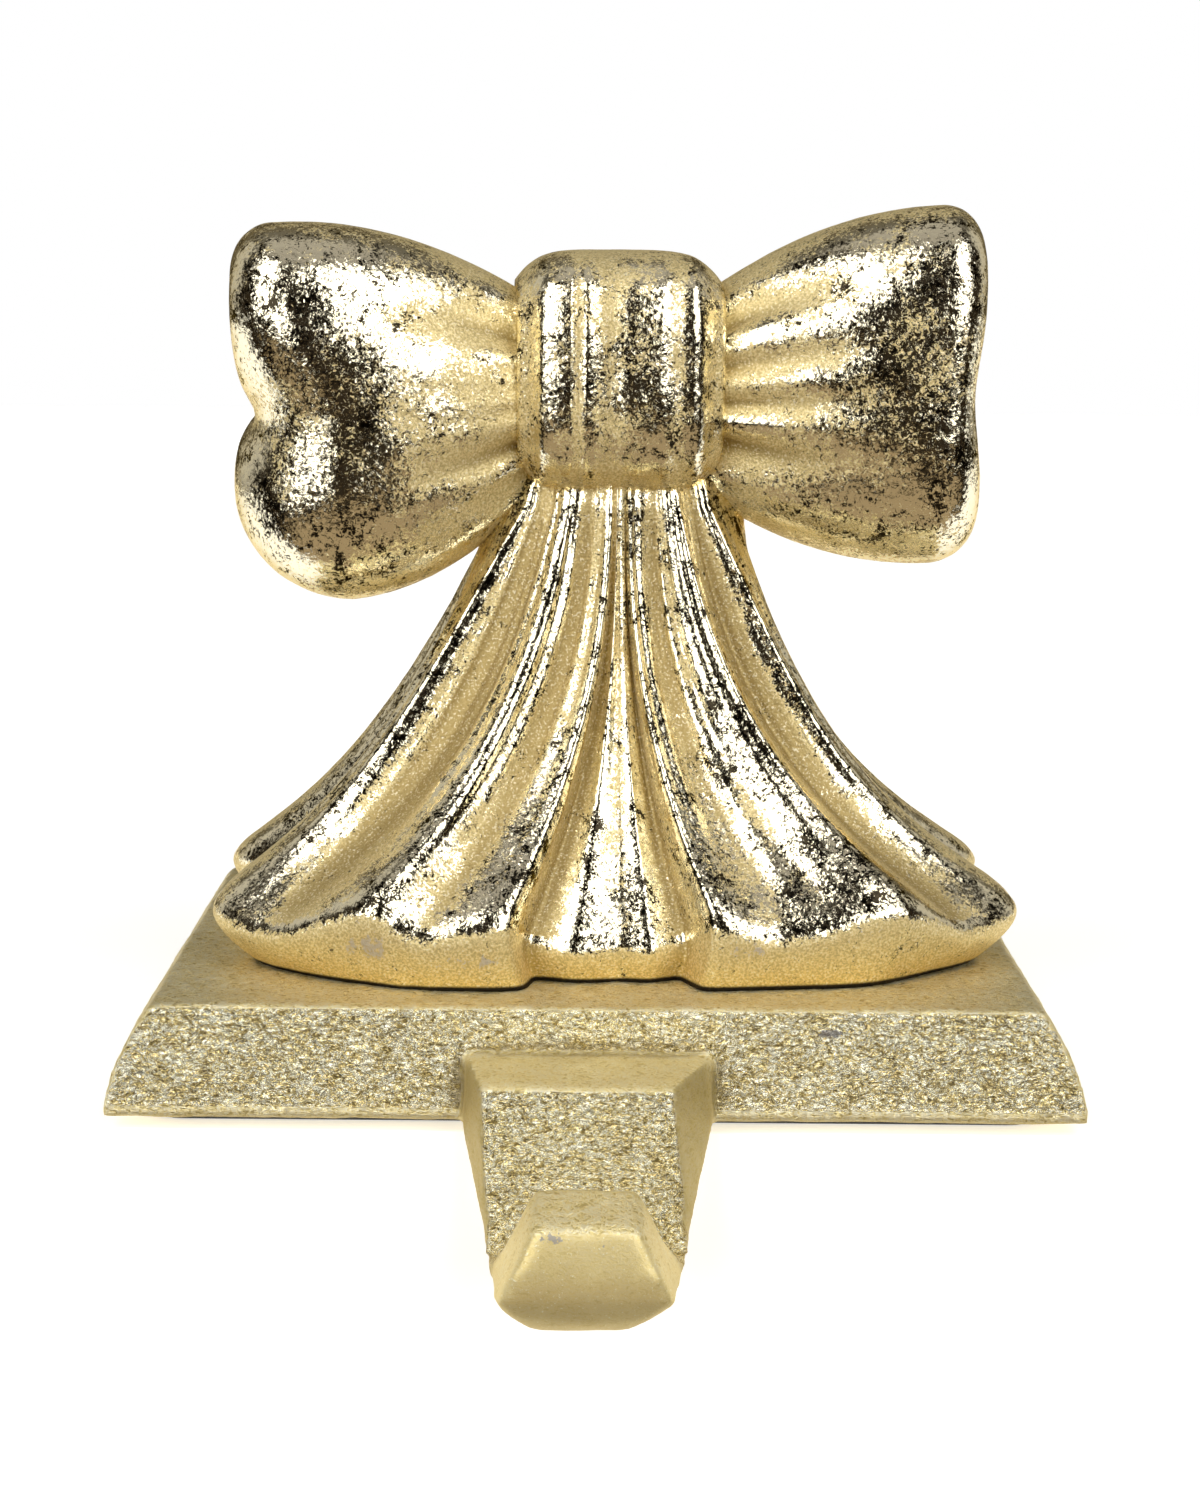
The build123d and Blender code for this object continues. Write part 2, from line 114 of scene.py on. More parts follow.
class Graph:
    """A node tree under construction, for a material, for the world or for geometry."""

    def __init__(self, tree: bpy.types.NodeTree) -> None:
        """Takes a tree and empties it."""
        self.tree = tree
        tree.nodes.clear()

    @staticmethod
    def pick(sockets: Any, key: str | int) -> bpy.types.NodeSocket:
        """Finds a socket by number, or the one in use by name.

        Args:
            sockets: A node's inputs or outputs.
            key: The socket's number or name.

        Returns:
            The socket.
        """
        if isinstance(key, int):
            return sockets[key]
        return next(s for s in sockets if s.name == key and s.enabled)

    def node(self, kind: str, inputs: Inputs | None = None, **settings: Any) -> bpy.types.Node:
        """Adds a node.

        Args:
            kind: The node's type name.
            inputs: Values or output sockets, by input name or number.
            settings: The node's own settings, set before its inputs.

        Returns:
            The node.
        """
        made = self.tree.nodes.new(kind)
        for name, value in settings.items():
            setattr(made, name, value)
        for key, value in (inputs or {}).items():
            socket = self.pick(made.inputs, key)
            if isinstance(value, bpy.types.NodeSocket):
                self.tree.links.new(value, socket)
            else:
                socket.default_value = value
        return made

    def out(self, kind: str, output: str | int, inputs: Inputs | None = None, **settings: Any) -> Any:
        """Adds a node and returns one of its outputs, by name or number."""
        return self.pick(self.node(kind, inputs, **settings).outputs, output)

    def here(self) -> Any:
        """The piece's own coordinates."""
        return self.out("ShaderNodeTexCoord", "Object")

    def attribute(self, name: str) -> Any:
        """A mesh attribute's value in a material."""
        return self.out("ShaderNodeAttribute", "Fac", attribute_name=name)

    def axes(self, vector: Any) -> Any:
        """A vector's three numbers, as outputs by name."""
        return self.node("ShaderNodeSeparateXYZ", {0: vector}).outputs

    def math(self, operation: str, *values: Any) -> Any:
        """A sum on one, two or three numbers or sockets."""
        return self.out("ShaderNodeMath", 0, dict(enumerate(values)), operation=operation)

    def chain(self, operation: str, *values: Any) -> Any:
        """One operation on two numbers, taken through several numbers or sockets in turn."""
        return functools.reduce(lambda done, value: self.math(operation, done, value), values)

    def plus(self, base: Any, value: Any, weight: Any) -> Any:
        """A number with another on top of it, times a weight."""
        return self.math("MULTIPLY_ADD", value, weight, base)

    def rest(self, share: Any) -> Any:
        """What a share leaves of 1."""
        return self.math("SUBTRACT", 1.0, share)

    def vector(self, operation: str, *values: Any) -> Any:
        """A sum on one, two or three vectors."""
        return self.out("ShaderNodeVectorMath", "Vector", dict(enumerate(values)), operation=operation)

    def scaled(self, vector: Any, scale: Any) -> Any:
        """A vector times a number."""
        return self.out("ShaderNodeVectorMath", "Vector", {0: vector, "Scale": scale}, operation="SCALE")

    def ramp(self, value: Any, band: Band) -> Any:
        """A smooth step from 0 to 1 over a band of values."""
        ends = {"Value": value, "From Min": band.low, "From Max": band.high}
        return self.out("ShaderNodeMapRange", "Result", ends, interpolation_type="SMOOTHSTEP")

    def noise(self, where: Any, speckle: Speckle) -> Any:
        """A soft noise.

        Args:
            where: The coordinates' socket.
            speckle: The noise's settings.

        Returns:
            The noise's socket.
        """
        inputs = {
            "Vector": where,
            "Scale": 1 / (speckle.size * MM),
            "Detail": speckle.detail,
            "Roughness": speckle.rough,
            "Distortion": speckle.warp,
        }
        return self.out("ShaderNodeTexNoise", 0, inputs)

    def swing(self, where: Any, speckle: Speckle) -> Any:
        """A soft noise about zero."""
        return self.math("SUBTRACT", self.noise(where, speckle), NOISE_MEAN)

    def stretched(self, where: Any, scale: Triple) -> Any:
        """Coordinates times a scale along each axis."""
        return self.out("ShaderNodeMapping", "Vector", {"Vector": where, "Scale": scale})

    def mix(self, share: Any, first: Any, second: Any) -> Any:
        """A blend of two colours.

        Args:
            share: The second colour's share.
            first: A colour or its socket.
            second: A colour or its socket.

        Returns:
            The blend's socket.
        """
        colours = [(*c, 1.0) if isinstance(c, tuple) else c for c in (first, second)]
        inputs = {"Factor": share, "A": colours[0], "B": colours[1]}
        return self.out("ShaderNodeMix", "Result", inputs, data_type="RGBA")

    def laid(self, under: Any, over: Any, value: Any, layer: Layer) -> Any:
        """A colour laid over another where a value calls for it.

        Args:
            under: A colour or its socket.
            over: The colour that is laid on, or its socket.
            value: The socket that the layer's step reads.
            layer: The step and the share.

        Returns:
            The colour's socket.
        """
        share = self.ramp(value, layer.band)
        if layer.share < 1:
            share = self.math("MULTIPLY", share, layer.share)
        return self.mix(share, under, over)

    def between(self, share: Any, first: Any, second: Any) -> Any:
        """A blend of two numbers, with the second one's share."""
        inputs = {"Factor": share, "A": first, "B": second}
        return self.out("ShaderNodeMix", "Result", inputs, data_type="FLOAT")

    def bump(self, height: Any, rise: float, strength: Any = 1.0, normal: Any = None) -> Any:
        """A normal that follows the heights of a pattern.

        Args:
            height: The pattern's socket.
            rise: How high a step of 1 in the pattern stands, in millimetres.
            strength: The relief's share, as a number or a socket.
            normal: The normal under it, or None for the surface's own.

        Returns:
            The normal's socket.
        """
        inputs = {"Strength": strength, "Distance": rise * MM, "Height": height}
        if normal is not None:
            inputs["Normal"] = normal
        return self.out("ShaderNodeBump", 0, inputs)

    def facets(self, where: Any, size: float, tilt: Any, normal: Any) -> Any:
        """A normal that leans at random from one small facet to the next.

        Args:
            where: The coordinates' socket.
            size: The facets' size in millimetres.
            tilt: How far they lean, as a number or a socket.
            normal: The normal's socket.

        Returns:
            The leaning normal's socket.
        """
        cells = self.out("ShaderNodeTexVoronoi", "Color", {"Vector": where, "Scale": 1 / (size * MM)})
        lean = self.scaled(self.vector("SUBTRACT", cells, (NOISE_MEAN,) * 3), tilt)
        return self.vector("NORMALIZE", self.vector("ADD", normal, lean))


@dataclass(frozen=True)
class Finish:
    """A finish of one piece, as a material on the piece's own coordinates."""

    name: str

    def sockets(self, g: Graph) -> Inputs:
        """The shader's values and sockets by name, which each finish gives."""
        raise NotImplementedError

    def material(self) -> bpy.types.Material:
        """Makes the material.

        Returns:
            The finished material.
        """
        made = bpy.data.materials.new(self.name)
        made.use_nodes = True
        g = Graph(made.node_tree)
        shader = g.out("ShaderNodeBsdfPrincipled", "BSDF", self.sockets(g))
        g.node("ShaderNodeOutputMaterial", {"Surface": shader})
        return made


@dataclass(frozen=True)
class GoldLeaf(Finish):
    """Gold leaf in two finely mixed states, burnished to a mirror and left satin, with grey wear, painted
    shade in its folds, a painted reflection of the plate and a painted contact shadow at its foot, and
    dark flecks that are partly cracks and partly painted dark reflections.
    """

    name: str = "gold_leaf"
    mirror: Colour = (0.96, 0.90, 0.70)
    satin: Colour = (0.86, 0.715, 0.375)
    edge: Colour = (0.86, 0.70, 0.40)
    # Near-black flecks: partly dark bole through cracks in the leaf, partly painted dark reflections,
    # denser where the leaf is burnished.
    brown: Colour = (0.34, 0.245, 0.09)
    crack_and_dark_reflection: Colour = (0.030, 0.024, 0.015)
    # Painted reflection of the gold plate, laid on the lowest part of the hem wall.
    foot: Colour = (0.93, 0.68, 0.23)
    # Painted contact shadow where the hem meets the plate.
    contact_shadow: Colour = (0.015, 0.012, 0.01)
    worn: Colour = (0.52, 0.48, 0.50)
    mirror_coat: float = 0.12
    satin_coat: float = 0.46
    satin_metal: float = 0.55
    specular: float = 0.2
    flecks: Speckle = Speckle(0.50, 4.0, 0.7, 1.0)
    patches: Speckle = Speckle(5.0, 3.0, 0.6)
    patch_weight: float = 0.55
    burnish_weight: float = 0.6
    bright: Band = Band(0.795, 0.825)
    grain: Speckle = Speckle(0.30, 2.0, 0.6)
    grain_height: float = 0.13
    grain_dark: Layer = Layer(Band(0.58, 0.36), 0.5)
    grain_light: Layer = Layer(Band(0.58, 0.64), 0.6)
    # Painted shade: brown laid into the folds' troughs.
    painted_fold_shade: Layer = Layer(Band(0.0, 1.1), 0.75)
    crack_and_reflection_specks: Speckle = Speckle(0.60, 4.0, 0.75, 1.2)
    crack_reflection_weight: float = 0.20
    groups: Speckle = Speckle(3.5, 3.0, 0.65, 0.6)
    group_weight: float = 0.7
    crack_and_reflection_layer: Layer = Layer(Band(0.71, 0.722))
    # Step of the painted contact shadow over the foot's share.
    contact_shadow_layer: Layer = Layer(Band(0.80, 0.90))
    ragged: Speckle = Speckle(1.2, 5.0, 0.8)
    ragged_weight: float = 2.4
    worn_layer: Layer = Layer(Band(0.62, 0.72), 0.7)
    flakes: Speckle = Speckle(0.70, 3.0, 0.6, 0.5)
    flake_height: float = 0.056
    tilt: float = 0.15
    tilt_size: float = 0.36

    def sockets(self, g: Graph) -> Inputs:
        """The leaf's colour, gloss and fine relief.

        Args:
            g: The material's tree.

        Returns:
            The shader's values and sockets by name.
        """
        here = g.here()
        foot = g.attribute("foot")
        burnish = g.attribute("burnish")
        fine = g.noise(here, self.grain)
        bright = g.plus(g.noise(here, self.flecks), g.swing(here, self.patches), self.patch_weight)
        bright = g.ramp(g.plus(bright, burnish, self.burnish_weight), self.bright)
        # Painted shade: the folds' troughs darken towards brown.
        tone = g.laid(self.satin, self.brown, g.attribute("fold"), self.painted_fold_shade)
        # Painted reflection of the gold plate, stronger towards the foot.
        tone = g.mix(foot, tone, self.foot)
        tone = g.laid(tone, self.brown, fine, self.grain_dark)
        tone = g.laid(tone, self.mirror, fine, self.grain_light)
        tone = g.mix(bright, tone, self.mirror)
        # Dark flecks, partly cracks in the leaf and partly painted dark reflections, which gather where
        # the leaf is burnished.
        crack_and_reflection_specks = g.plus(g.noise(here, self.crack_and_reflection_specks), g.swing(here, self.groups), self.group_weight)
        crack_and_reflection_specks = g.plus(crack_and_reflection_specks, burnish, self.crack_reflection_weight)
        tone = g.laid(tone, self.crack_and_dark_reflection, crack_and_reflection_specks, self.crack_and_reflection_layer)
        # Painted contact shadow: near black on the lowest part of the foot.
        tone = g.laid(tone, self.contact_shadow, foot, self.contact_shadow_layer)
        worn = g.plus(g.attribute("wear"), g.swing(here, self.ragged), self.ragged_weight)
        tone = g.laid(tone, self.worn, worn, self.worn_layer)
        normal = g.bump(g.noise(here, self.flakes), self.flake_height)
        normal = g.bump(fine, self.grain_height, g.rest(bright), normal)
        return {
            "Base Color": tone,
            "Metallic": g.between(bright, self.satin_metal, 1.0),
            "Roughness": g.between(bright, self.satin_coat, self.mirror_coat),
            "Specular IOR Level": self.specular,
            "Specular Tint": (*self.edge, 1.0),
            "Normal": g.facets(here, self.tilt_size, self.tilt, normal),
        }


@dataclass(frozen=True)
class CastPaint(Finish):
    """Gold paint over a sand casting: grains on rough faces with painted glints on their crests and
    painted shade in their hollows, a satin coat with painted glint dots on smooth ones, and painted shade
    in crevices and on the arm's flanks.
    """

    name: str = "cast_gold_paint"
    # Painted glints on the grains' crests and in fine dots on the smooth faces.
    painted_glint: Colour = (1.0, 0.98, 0.81)
    coat: Colour = (1.0, 0.87, 0.46)
    # Painted shade in the grains' hollows, in crevices and on the arm's flanks.
    pit_shade: Colour = (0.36, 0.27, 0.09)
    smooth: Colour = (0.75, 0.615, 0.285)
    edge: Colour = (0.86, 0.72, 0.42)
    worn: Colour = (0.36, 0.35, 0.37)
    rough_coat: float = 0.20
    smooth_coat: float = 0.48
    rough_metal: float = 0.85
    smooth_metal: float = 0.42
    specular: float = 0.3
    grain: Speckle = Speckle(0.72, 3.0, 0.65, 0.8)
    grain_stretch: Triple = (0.72, 1.0, 1.3)
    grain_height: float = 0.14
    ridge_slope: float = 7.0
    sparks: Speckle = Speckle(0.30, 2.0, 0.6)
    spark_weight: float = 1.4
    spark_height: float = 0.06
    spark_strength: float = 0.8
    blotches: Speckle = Speckle(2.4, 2.0)
    clouds: Speckle = Speckle(7.0, 4.0, 0.6)
    coat_layer: Layer = Layer(Band(-0.35, 0.5))
    painted_glint_layer: Layer = Layer(Band(0.55, 0.75))
    cloud_layer: Layer = Layer(Band(0.35, 0.7), 0.3)
    painted_glint_dot_layer: Layer = Layer(Band(0.66, 0.70), 0.7)
    # Painted shade in crevices and on the arm's flanks.
    painted_fold_shade: Layer = Layer(Band(0.1, 0.8), 0.6)
    ragged: Speckle = Speckle(1.0, 4.0, 0.7)
    ragged_weight: float = 1.2
    worn_layer: Layer = Layer(Band(0.55, 0.62), 0.8)
    tilt: float = 0.5
    tilt_size: float = 0.5

    def sockets(self, g: Graph) -> Inputs:
        """The paint's colour, gloss and grain.

        Args:
            g: The material's tree.

        Returns:
            The shader's values and sockets by name.
        """
        here = g.here()
        coarse = g.attribute("coarse")
        worms = g.noise(g.stretched(here, self.grain_stretch), self.grain)
        ridge = g.rest(g.math("ABSOLUTE", g.plus(-self.ridge_slope / 2, worms, self.ridge_slope)))
        sparks = g.noise(here, self.sparks)
        level = g.plus(ridge, g.math("SUBTRACT", sparks, NOISE_MEAN), self.spark_weight)
        level = g.math("ADD", g.swing(here, self.blotches), level)
        # Painted shade: the grains' low places darken towards the pit shade.
        grains = g.laid(self.pit_shade, self.coat, level, self.coat_layer)
        # Painted glints on the grains' crests.
        grains = g.laid(grains, self.painted_glint, level, self.painted_glint_layer)
        plain = g.laid(self.smooth, self.coat, g.noise(here, self.clouds), self.cloud_layer)
        # Painted glints in fine dots on the smooth faces.
        plain = g.laid(plain, self.painted_glint, sparks, self.painted_glint_dot_layer)
        tone = g.mix(coarse, plain, grains)
        # Painted shade: the pit shade laid where `fold` marks crevices and the arm's flanks.
        tone = g.laid(tone, self.pit_shade, g.attribute("fold"), self.painted_fold_shade)
        worn = g.plus(g.attribute("wear"), g.swing(here, self.ragged), self.ragged_weight)
        tone = g.laid(tone, self.worn, worn, self.worn_layer)
        normal = g.bump(ridge, self.grain_height, coarse)
        normal = g.bump(sparks, self.spark_height, self.spark_strength, normal)
        tilt = g.math("MULTIPLY", coarse, self.tilt)
        return {
            "Base Color": tone,
            "Metallic": g.between(coarse, self.smooth_metal, self.rough_metal),
            "Roughness": g.between(coarse, self.smooth_coat, self.rough_coat),
            "Specular IOR Level": self.specular,
            "Specular Tint": (*self.edge, 1.0),
            "Normal": g.facets(here, self.tilt_size, tilt, normal),
        }


@dataclass(frozen=True)
class ZincSteel(Finish):
    """Plated steel of the screws, with fine turning marks."""

    name: str = "screw_steel"
    tone: Colour = (0.60, 0.61, 0.62)
    dull: Colour = (0.42, 0.43, 0.44)
    bright_coat: float = 0.25
    dull_coat: float = 0.45
    marks: Speckle = Speckle(0.8, 3.0)
    mark_stretch: Triple = (1.0, 1.0, 9.0)
    mark_height: float = 0.02
    mark_strength: float = 0.5

    def sockets(self, g: Graph) -> Inputs:
        """The plating's colour, gloss and turning marks.

        Args:
            g: The material's tree.

        Returns:
            The shader's values and sockets by name.
        """
        marks = g.noise(g.stretched(g.here(), self.mark_stretch), self.marks)
        return {
            "Base Color": g.mix(marks, self.tone, self.dull),
            "Metallic": 1.0,
            "Roughness": g.between(marks, self.bright_coat, self.dull_coat),
            "Normal": g.bump(marks, self.mark_height, self.mark_strength),
        }


@dataclass(frozen=True)
class PressedFelt(Finish):
    """Dark pressed felt with matted fibres."""

    name: str = "felt"
    dark: Colour = (0.018, 0.018, 0.02)
    light: Colour = (0.055, 0.055, 0.06)
    roughness: float = 0.95
    sheen: float = 0.4
    fibres: Speckle = Speckle(0.5, 6.0, 0.75, 2.5)
    fibre_height: float = 0.25
    fibre_strength: float = 0.8

    def sockets(self, g: Graph) -> Inputs:
        """The felt's colour, sheen and fibres.

        Args:
            g: The material's tree.

        Returns:
            The shader's values and sockets by name.
        """
        fibres = g.noise(g.here(), self.fibres)
        return {
            "Base Color": g.mix(fibres, self.dark, self.light),
            "Roughness": self.roughness,
            "Sheen Weight": self.sheen,
            "Normal": g.bump(fibres, self.fibre_height, self.fibre_strength),
        }


@dataclass(frozen=True)
class ShelfPaint(Finish):
    """Plain white paint of the shelf under the holder."""

    name: str = "shelf_white"
    tone: Colour = (0.93, 0.93, 0.925)
    roughness: float = 0.8
    glow: float = 0.55

    def sockets(self, g: Graph) -> Inputs:
        """The paint's colour, gloss and glow, the same all over."""
        tone = (*self.tone, 1.0)
        return {
            "Base Color": tone,
            "Roughness": self.roughness,
            "Emission Color": tone,
            "Emission Strength": self.glow,
        }


def ring_blur(points: np.ndarray, spread: float) -> np.ndarray:
    """Closed rows of points, each row smoothed along itself.

    Args:
        points: Rows by places by three numbers.
        spread: How far the smoothing reaches, in the points' unit.

    Returns:
        The smoothed points.
    """
    places = points.shape[1]
    step = np.linalg.norm(np.roll(points, -1, axis=1) - points, axis=2).mean(axis=1)
    waves = np.fft.rfftfreq(places)[None] * spread / step[:, None]
    keep = np.exp(-2 * (math.pi * waves) ** 2)
    return np.fft.irfft(np.fft.rfft(points, axis=1) * keep[:, :, None], places, axis=1)


def finer_ring(ring: np.ndarray, rounds: int) -> np.ndarray:
    """Puts smooth new points between the points of closed rings, by the four-point rule.

    Args:
        ring: Points as levels by places by three numbers.
        rounds: How often the points are doubled.

    Returns:
        The finer rings.
    """
    for _ in range(rounds):
        before, after, beyond = (np.roll(ring, step, axis=1) for step in (1, -1, -2))
        middle = ((ring + after) * 9 - before - beyond) / 16
        ring = np.stack([ring, middle], axis=2).reshape(len(ring), -1, 3)
    return ring


def oval(turn: np.ndarray, deep: np.ndarray, high: np.ndarray, power: np.ndarray | float) -> np.ndarray:
    """Radius of a squarish oval at a turn from the top towards the front.

    Args:
        turn: Angles in radians.
        deep: Half the oval's depth.
        high: Half its height.
        power: How square it is; 2 is an ellipse.

    Returns:
        The radii.
    """
    flat = np.abs(np.sin(turn) / deep) ** power + np.abs(np.cos(turn) / high) ** power
    return flat ** (-1 / power)


def bell(off: np.ndarray, width: np.ndarray | float) -> np.ndarray:
    """A smooth bump of height 1.

    Args:
        off: Distances from its middle.
        width: How wide it is, in the same unit.

    Returns:
        Its height at each distance.
    """
    return np.exp(-((off / width) ** 2))


def ripples(turn: np.ndarray, counts: tuple[int, int], phase: float) -> np.ndarray:
    """Two fine waves round a ring, mixed evenly.

    Args:
        turn: Angles in radians.
        counts: How many waves of each there are.
        phase: The second one's start in radians.

    Returns:
        Their height at each angle, from -1 to 1.
    """
    return (np.sin(turn * counts[0]) + np.sin(turn * counts[1] + phase)) / 2


def unit(value: float) -> float:
    """Holds a number between 0 and 1.

    Args:
        value: The number.

    Returns:
        The nearest number from 0 to 1.
    """
    return min(max(value, 0), 1)


@dataclass
class Tube:
    """A closed skin as a grid of points in millimetres: levels along it by places round it."""

    points: np.ndarray

    def __post_init__(self) -> None:
        """Works out the normals, and turns the grid if they point inwards."""
        spokes = self.points - self.points.mean(axis=1, keepdims=True)
        if (self.cross() * spokes).sum() < 0:
            self.points = self.points[:, ::-1]
        normals = self.cross()
        self.normals = normals / (np.linalg.norm(normals, axis=2, keepdims=True) + TINY)

    def cross(self) -> np.ndarray:
        """Vectors square to the skin, of any length."""
        around = np.roll(self.points, -1, axis=1) - np.roll(self.points, 1, axis=1)
        return np.cross(around, np.gradient(self.points, axis=0))

    def hollows(self, spread: float, reach: float, lengthwise: bool) -> np.ndarray:
        """How deep each point lies in a fold: positive in a trough, negative on a crest.

        Args:
            spread: The folds' width in millimetres.
            reach: The depth that counts as 1.
            lengthwise: Whether the folds run round the tube and not along it.

        Returns:
            One number for each point.
        """
        if lengthwise:
            rows = self.points.swapaxes(0, 1)
            doubled = np.concatenate([rows, rows[:, ::-1]], axis=1)
            soft = ring_blur(doubled, spread)[:, : rows.shape[1]].swapaxes(0, 1)
        else:
            soft = ring_blur(self.points, spread)
        return ((soft - self.points) * self.normals).sum(axis=2) / reach

    def mesh(self, name: str, turn: float, place: Triple) -> bpy.types.Mesh:
        """The skin as a mesh in metres, with both ends closed.

        Args:
            name: The mesh's name.
            turn: Turn about the upright axis in degrees.
            place: Where the grid's origin goes, in metres.

        Returns:
            The mesh, with its points in the grid's order.
        """
        levels, around = self.points.shape[:2]
        number = np.arange(levels * around).reshape(levels, around)
        after = np.roll(number, -1, axis=1)
        quads = np.stack([number[:-1], after[:-1], after[1:], number[1:]], axis=2).reshape(-1, 4)
        faces = [*quads.tolist(), number[0, ::-1].tolist(), number[-1].tolist()]
        angle = math.radians(turn)
        across, along = math.cos(angle), math.sin(angle)
        spin = np.array([[across, along, 0], [-along, across, 0], [0, 0, 1]])
        spots = self.points.reshape(-1, 3) @ spin * MM + place
        made = bpy.data.meshes.new(name)
        made.from_pydata(spots.tolist(), [], faces)
        return made


class Pleat(NamedTuple):
    """One fold line of the tails in a front quarter, from the neck to the hem."""

    neck_angle: float
    fold: float
    span_share: float
    depth_share: float
    hem_height: float


class Crease(NamedTuple):
    """One fold line on a loop: its turn from the top towards the front, its width and its depth."""

    turn: float
    width: float
    depth: float


MIDDLE_PLEAT = Pleat(0.0, 0.0, 0.0, 0.835, 5.2)
SIDE_PLEATS = (
    Pleat(50.0, 0.5, 1.0, 0.43, 8.0),
    Pleat(62.0, -0.3, 0.955, 0.25, 8.8),
    Pleat(77.0, -0.6, 0.80, 0.09, 9.4),
    Pleat(90.0, -0.6, 0.74, 0.0, 9.6),
)
RIGHT_PLEATS = (
    MIDDLE_PLEAT,
    Pleat(1.2, 0.4, 0.075, 0.85, 5.0),
    Pleat(2.4, -0.6, 0.155, 0.81, 5.6),
    Pleat(4.2, 0.6, 0.21, 0.965, 9.2),
    Pleat(10.0, -0.5, 0.31, 0.975, 7.8),
    Pleat(15.0, -1.1, 0.385, 0.965, 7.3),
    Pleat(20.0, -0.2, 0.525, 0.95, 9.2),
    Pleat(25.5, 1.0, 0.68, 0.90, 11.0),
    Pleat(35.0, -0.9, 0.845, 0.72, 6.4),
    Pleat(41.0, 0.9, 0.97, 0.56, 7.4),
    *SIDE_PLEATS,
)
LEFT_PLEATS = (
    MIDDLE_PLEAT,
    Pleat(1.2, 0.4, 0.125, 0.85, 5.0),
    Pleat(2.4, -0.6, 0.23, 0.81, 5.6),
    Pleat(4.2, 0.6, 0.28, 0.965, 9.2),
    Pleat(13.0, -1.0, 0.47, 0.97, 7.4),
    Pleat(18.0, -0.2, 0.55, 0.95, 9.2),
    Pleat(24.0, 1.0, 0.62, 0.93, 11.0),
    Pleat(35.0, -0.9, 0.84, 0.74, 6.2),
    Pleat(42.0, 0.9, 0.97, 0.56, 7.4),
    *SIDE_PLEATS,
)


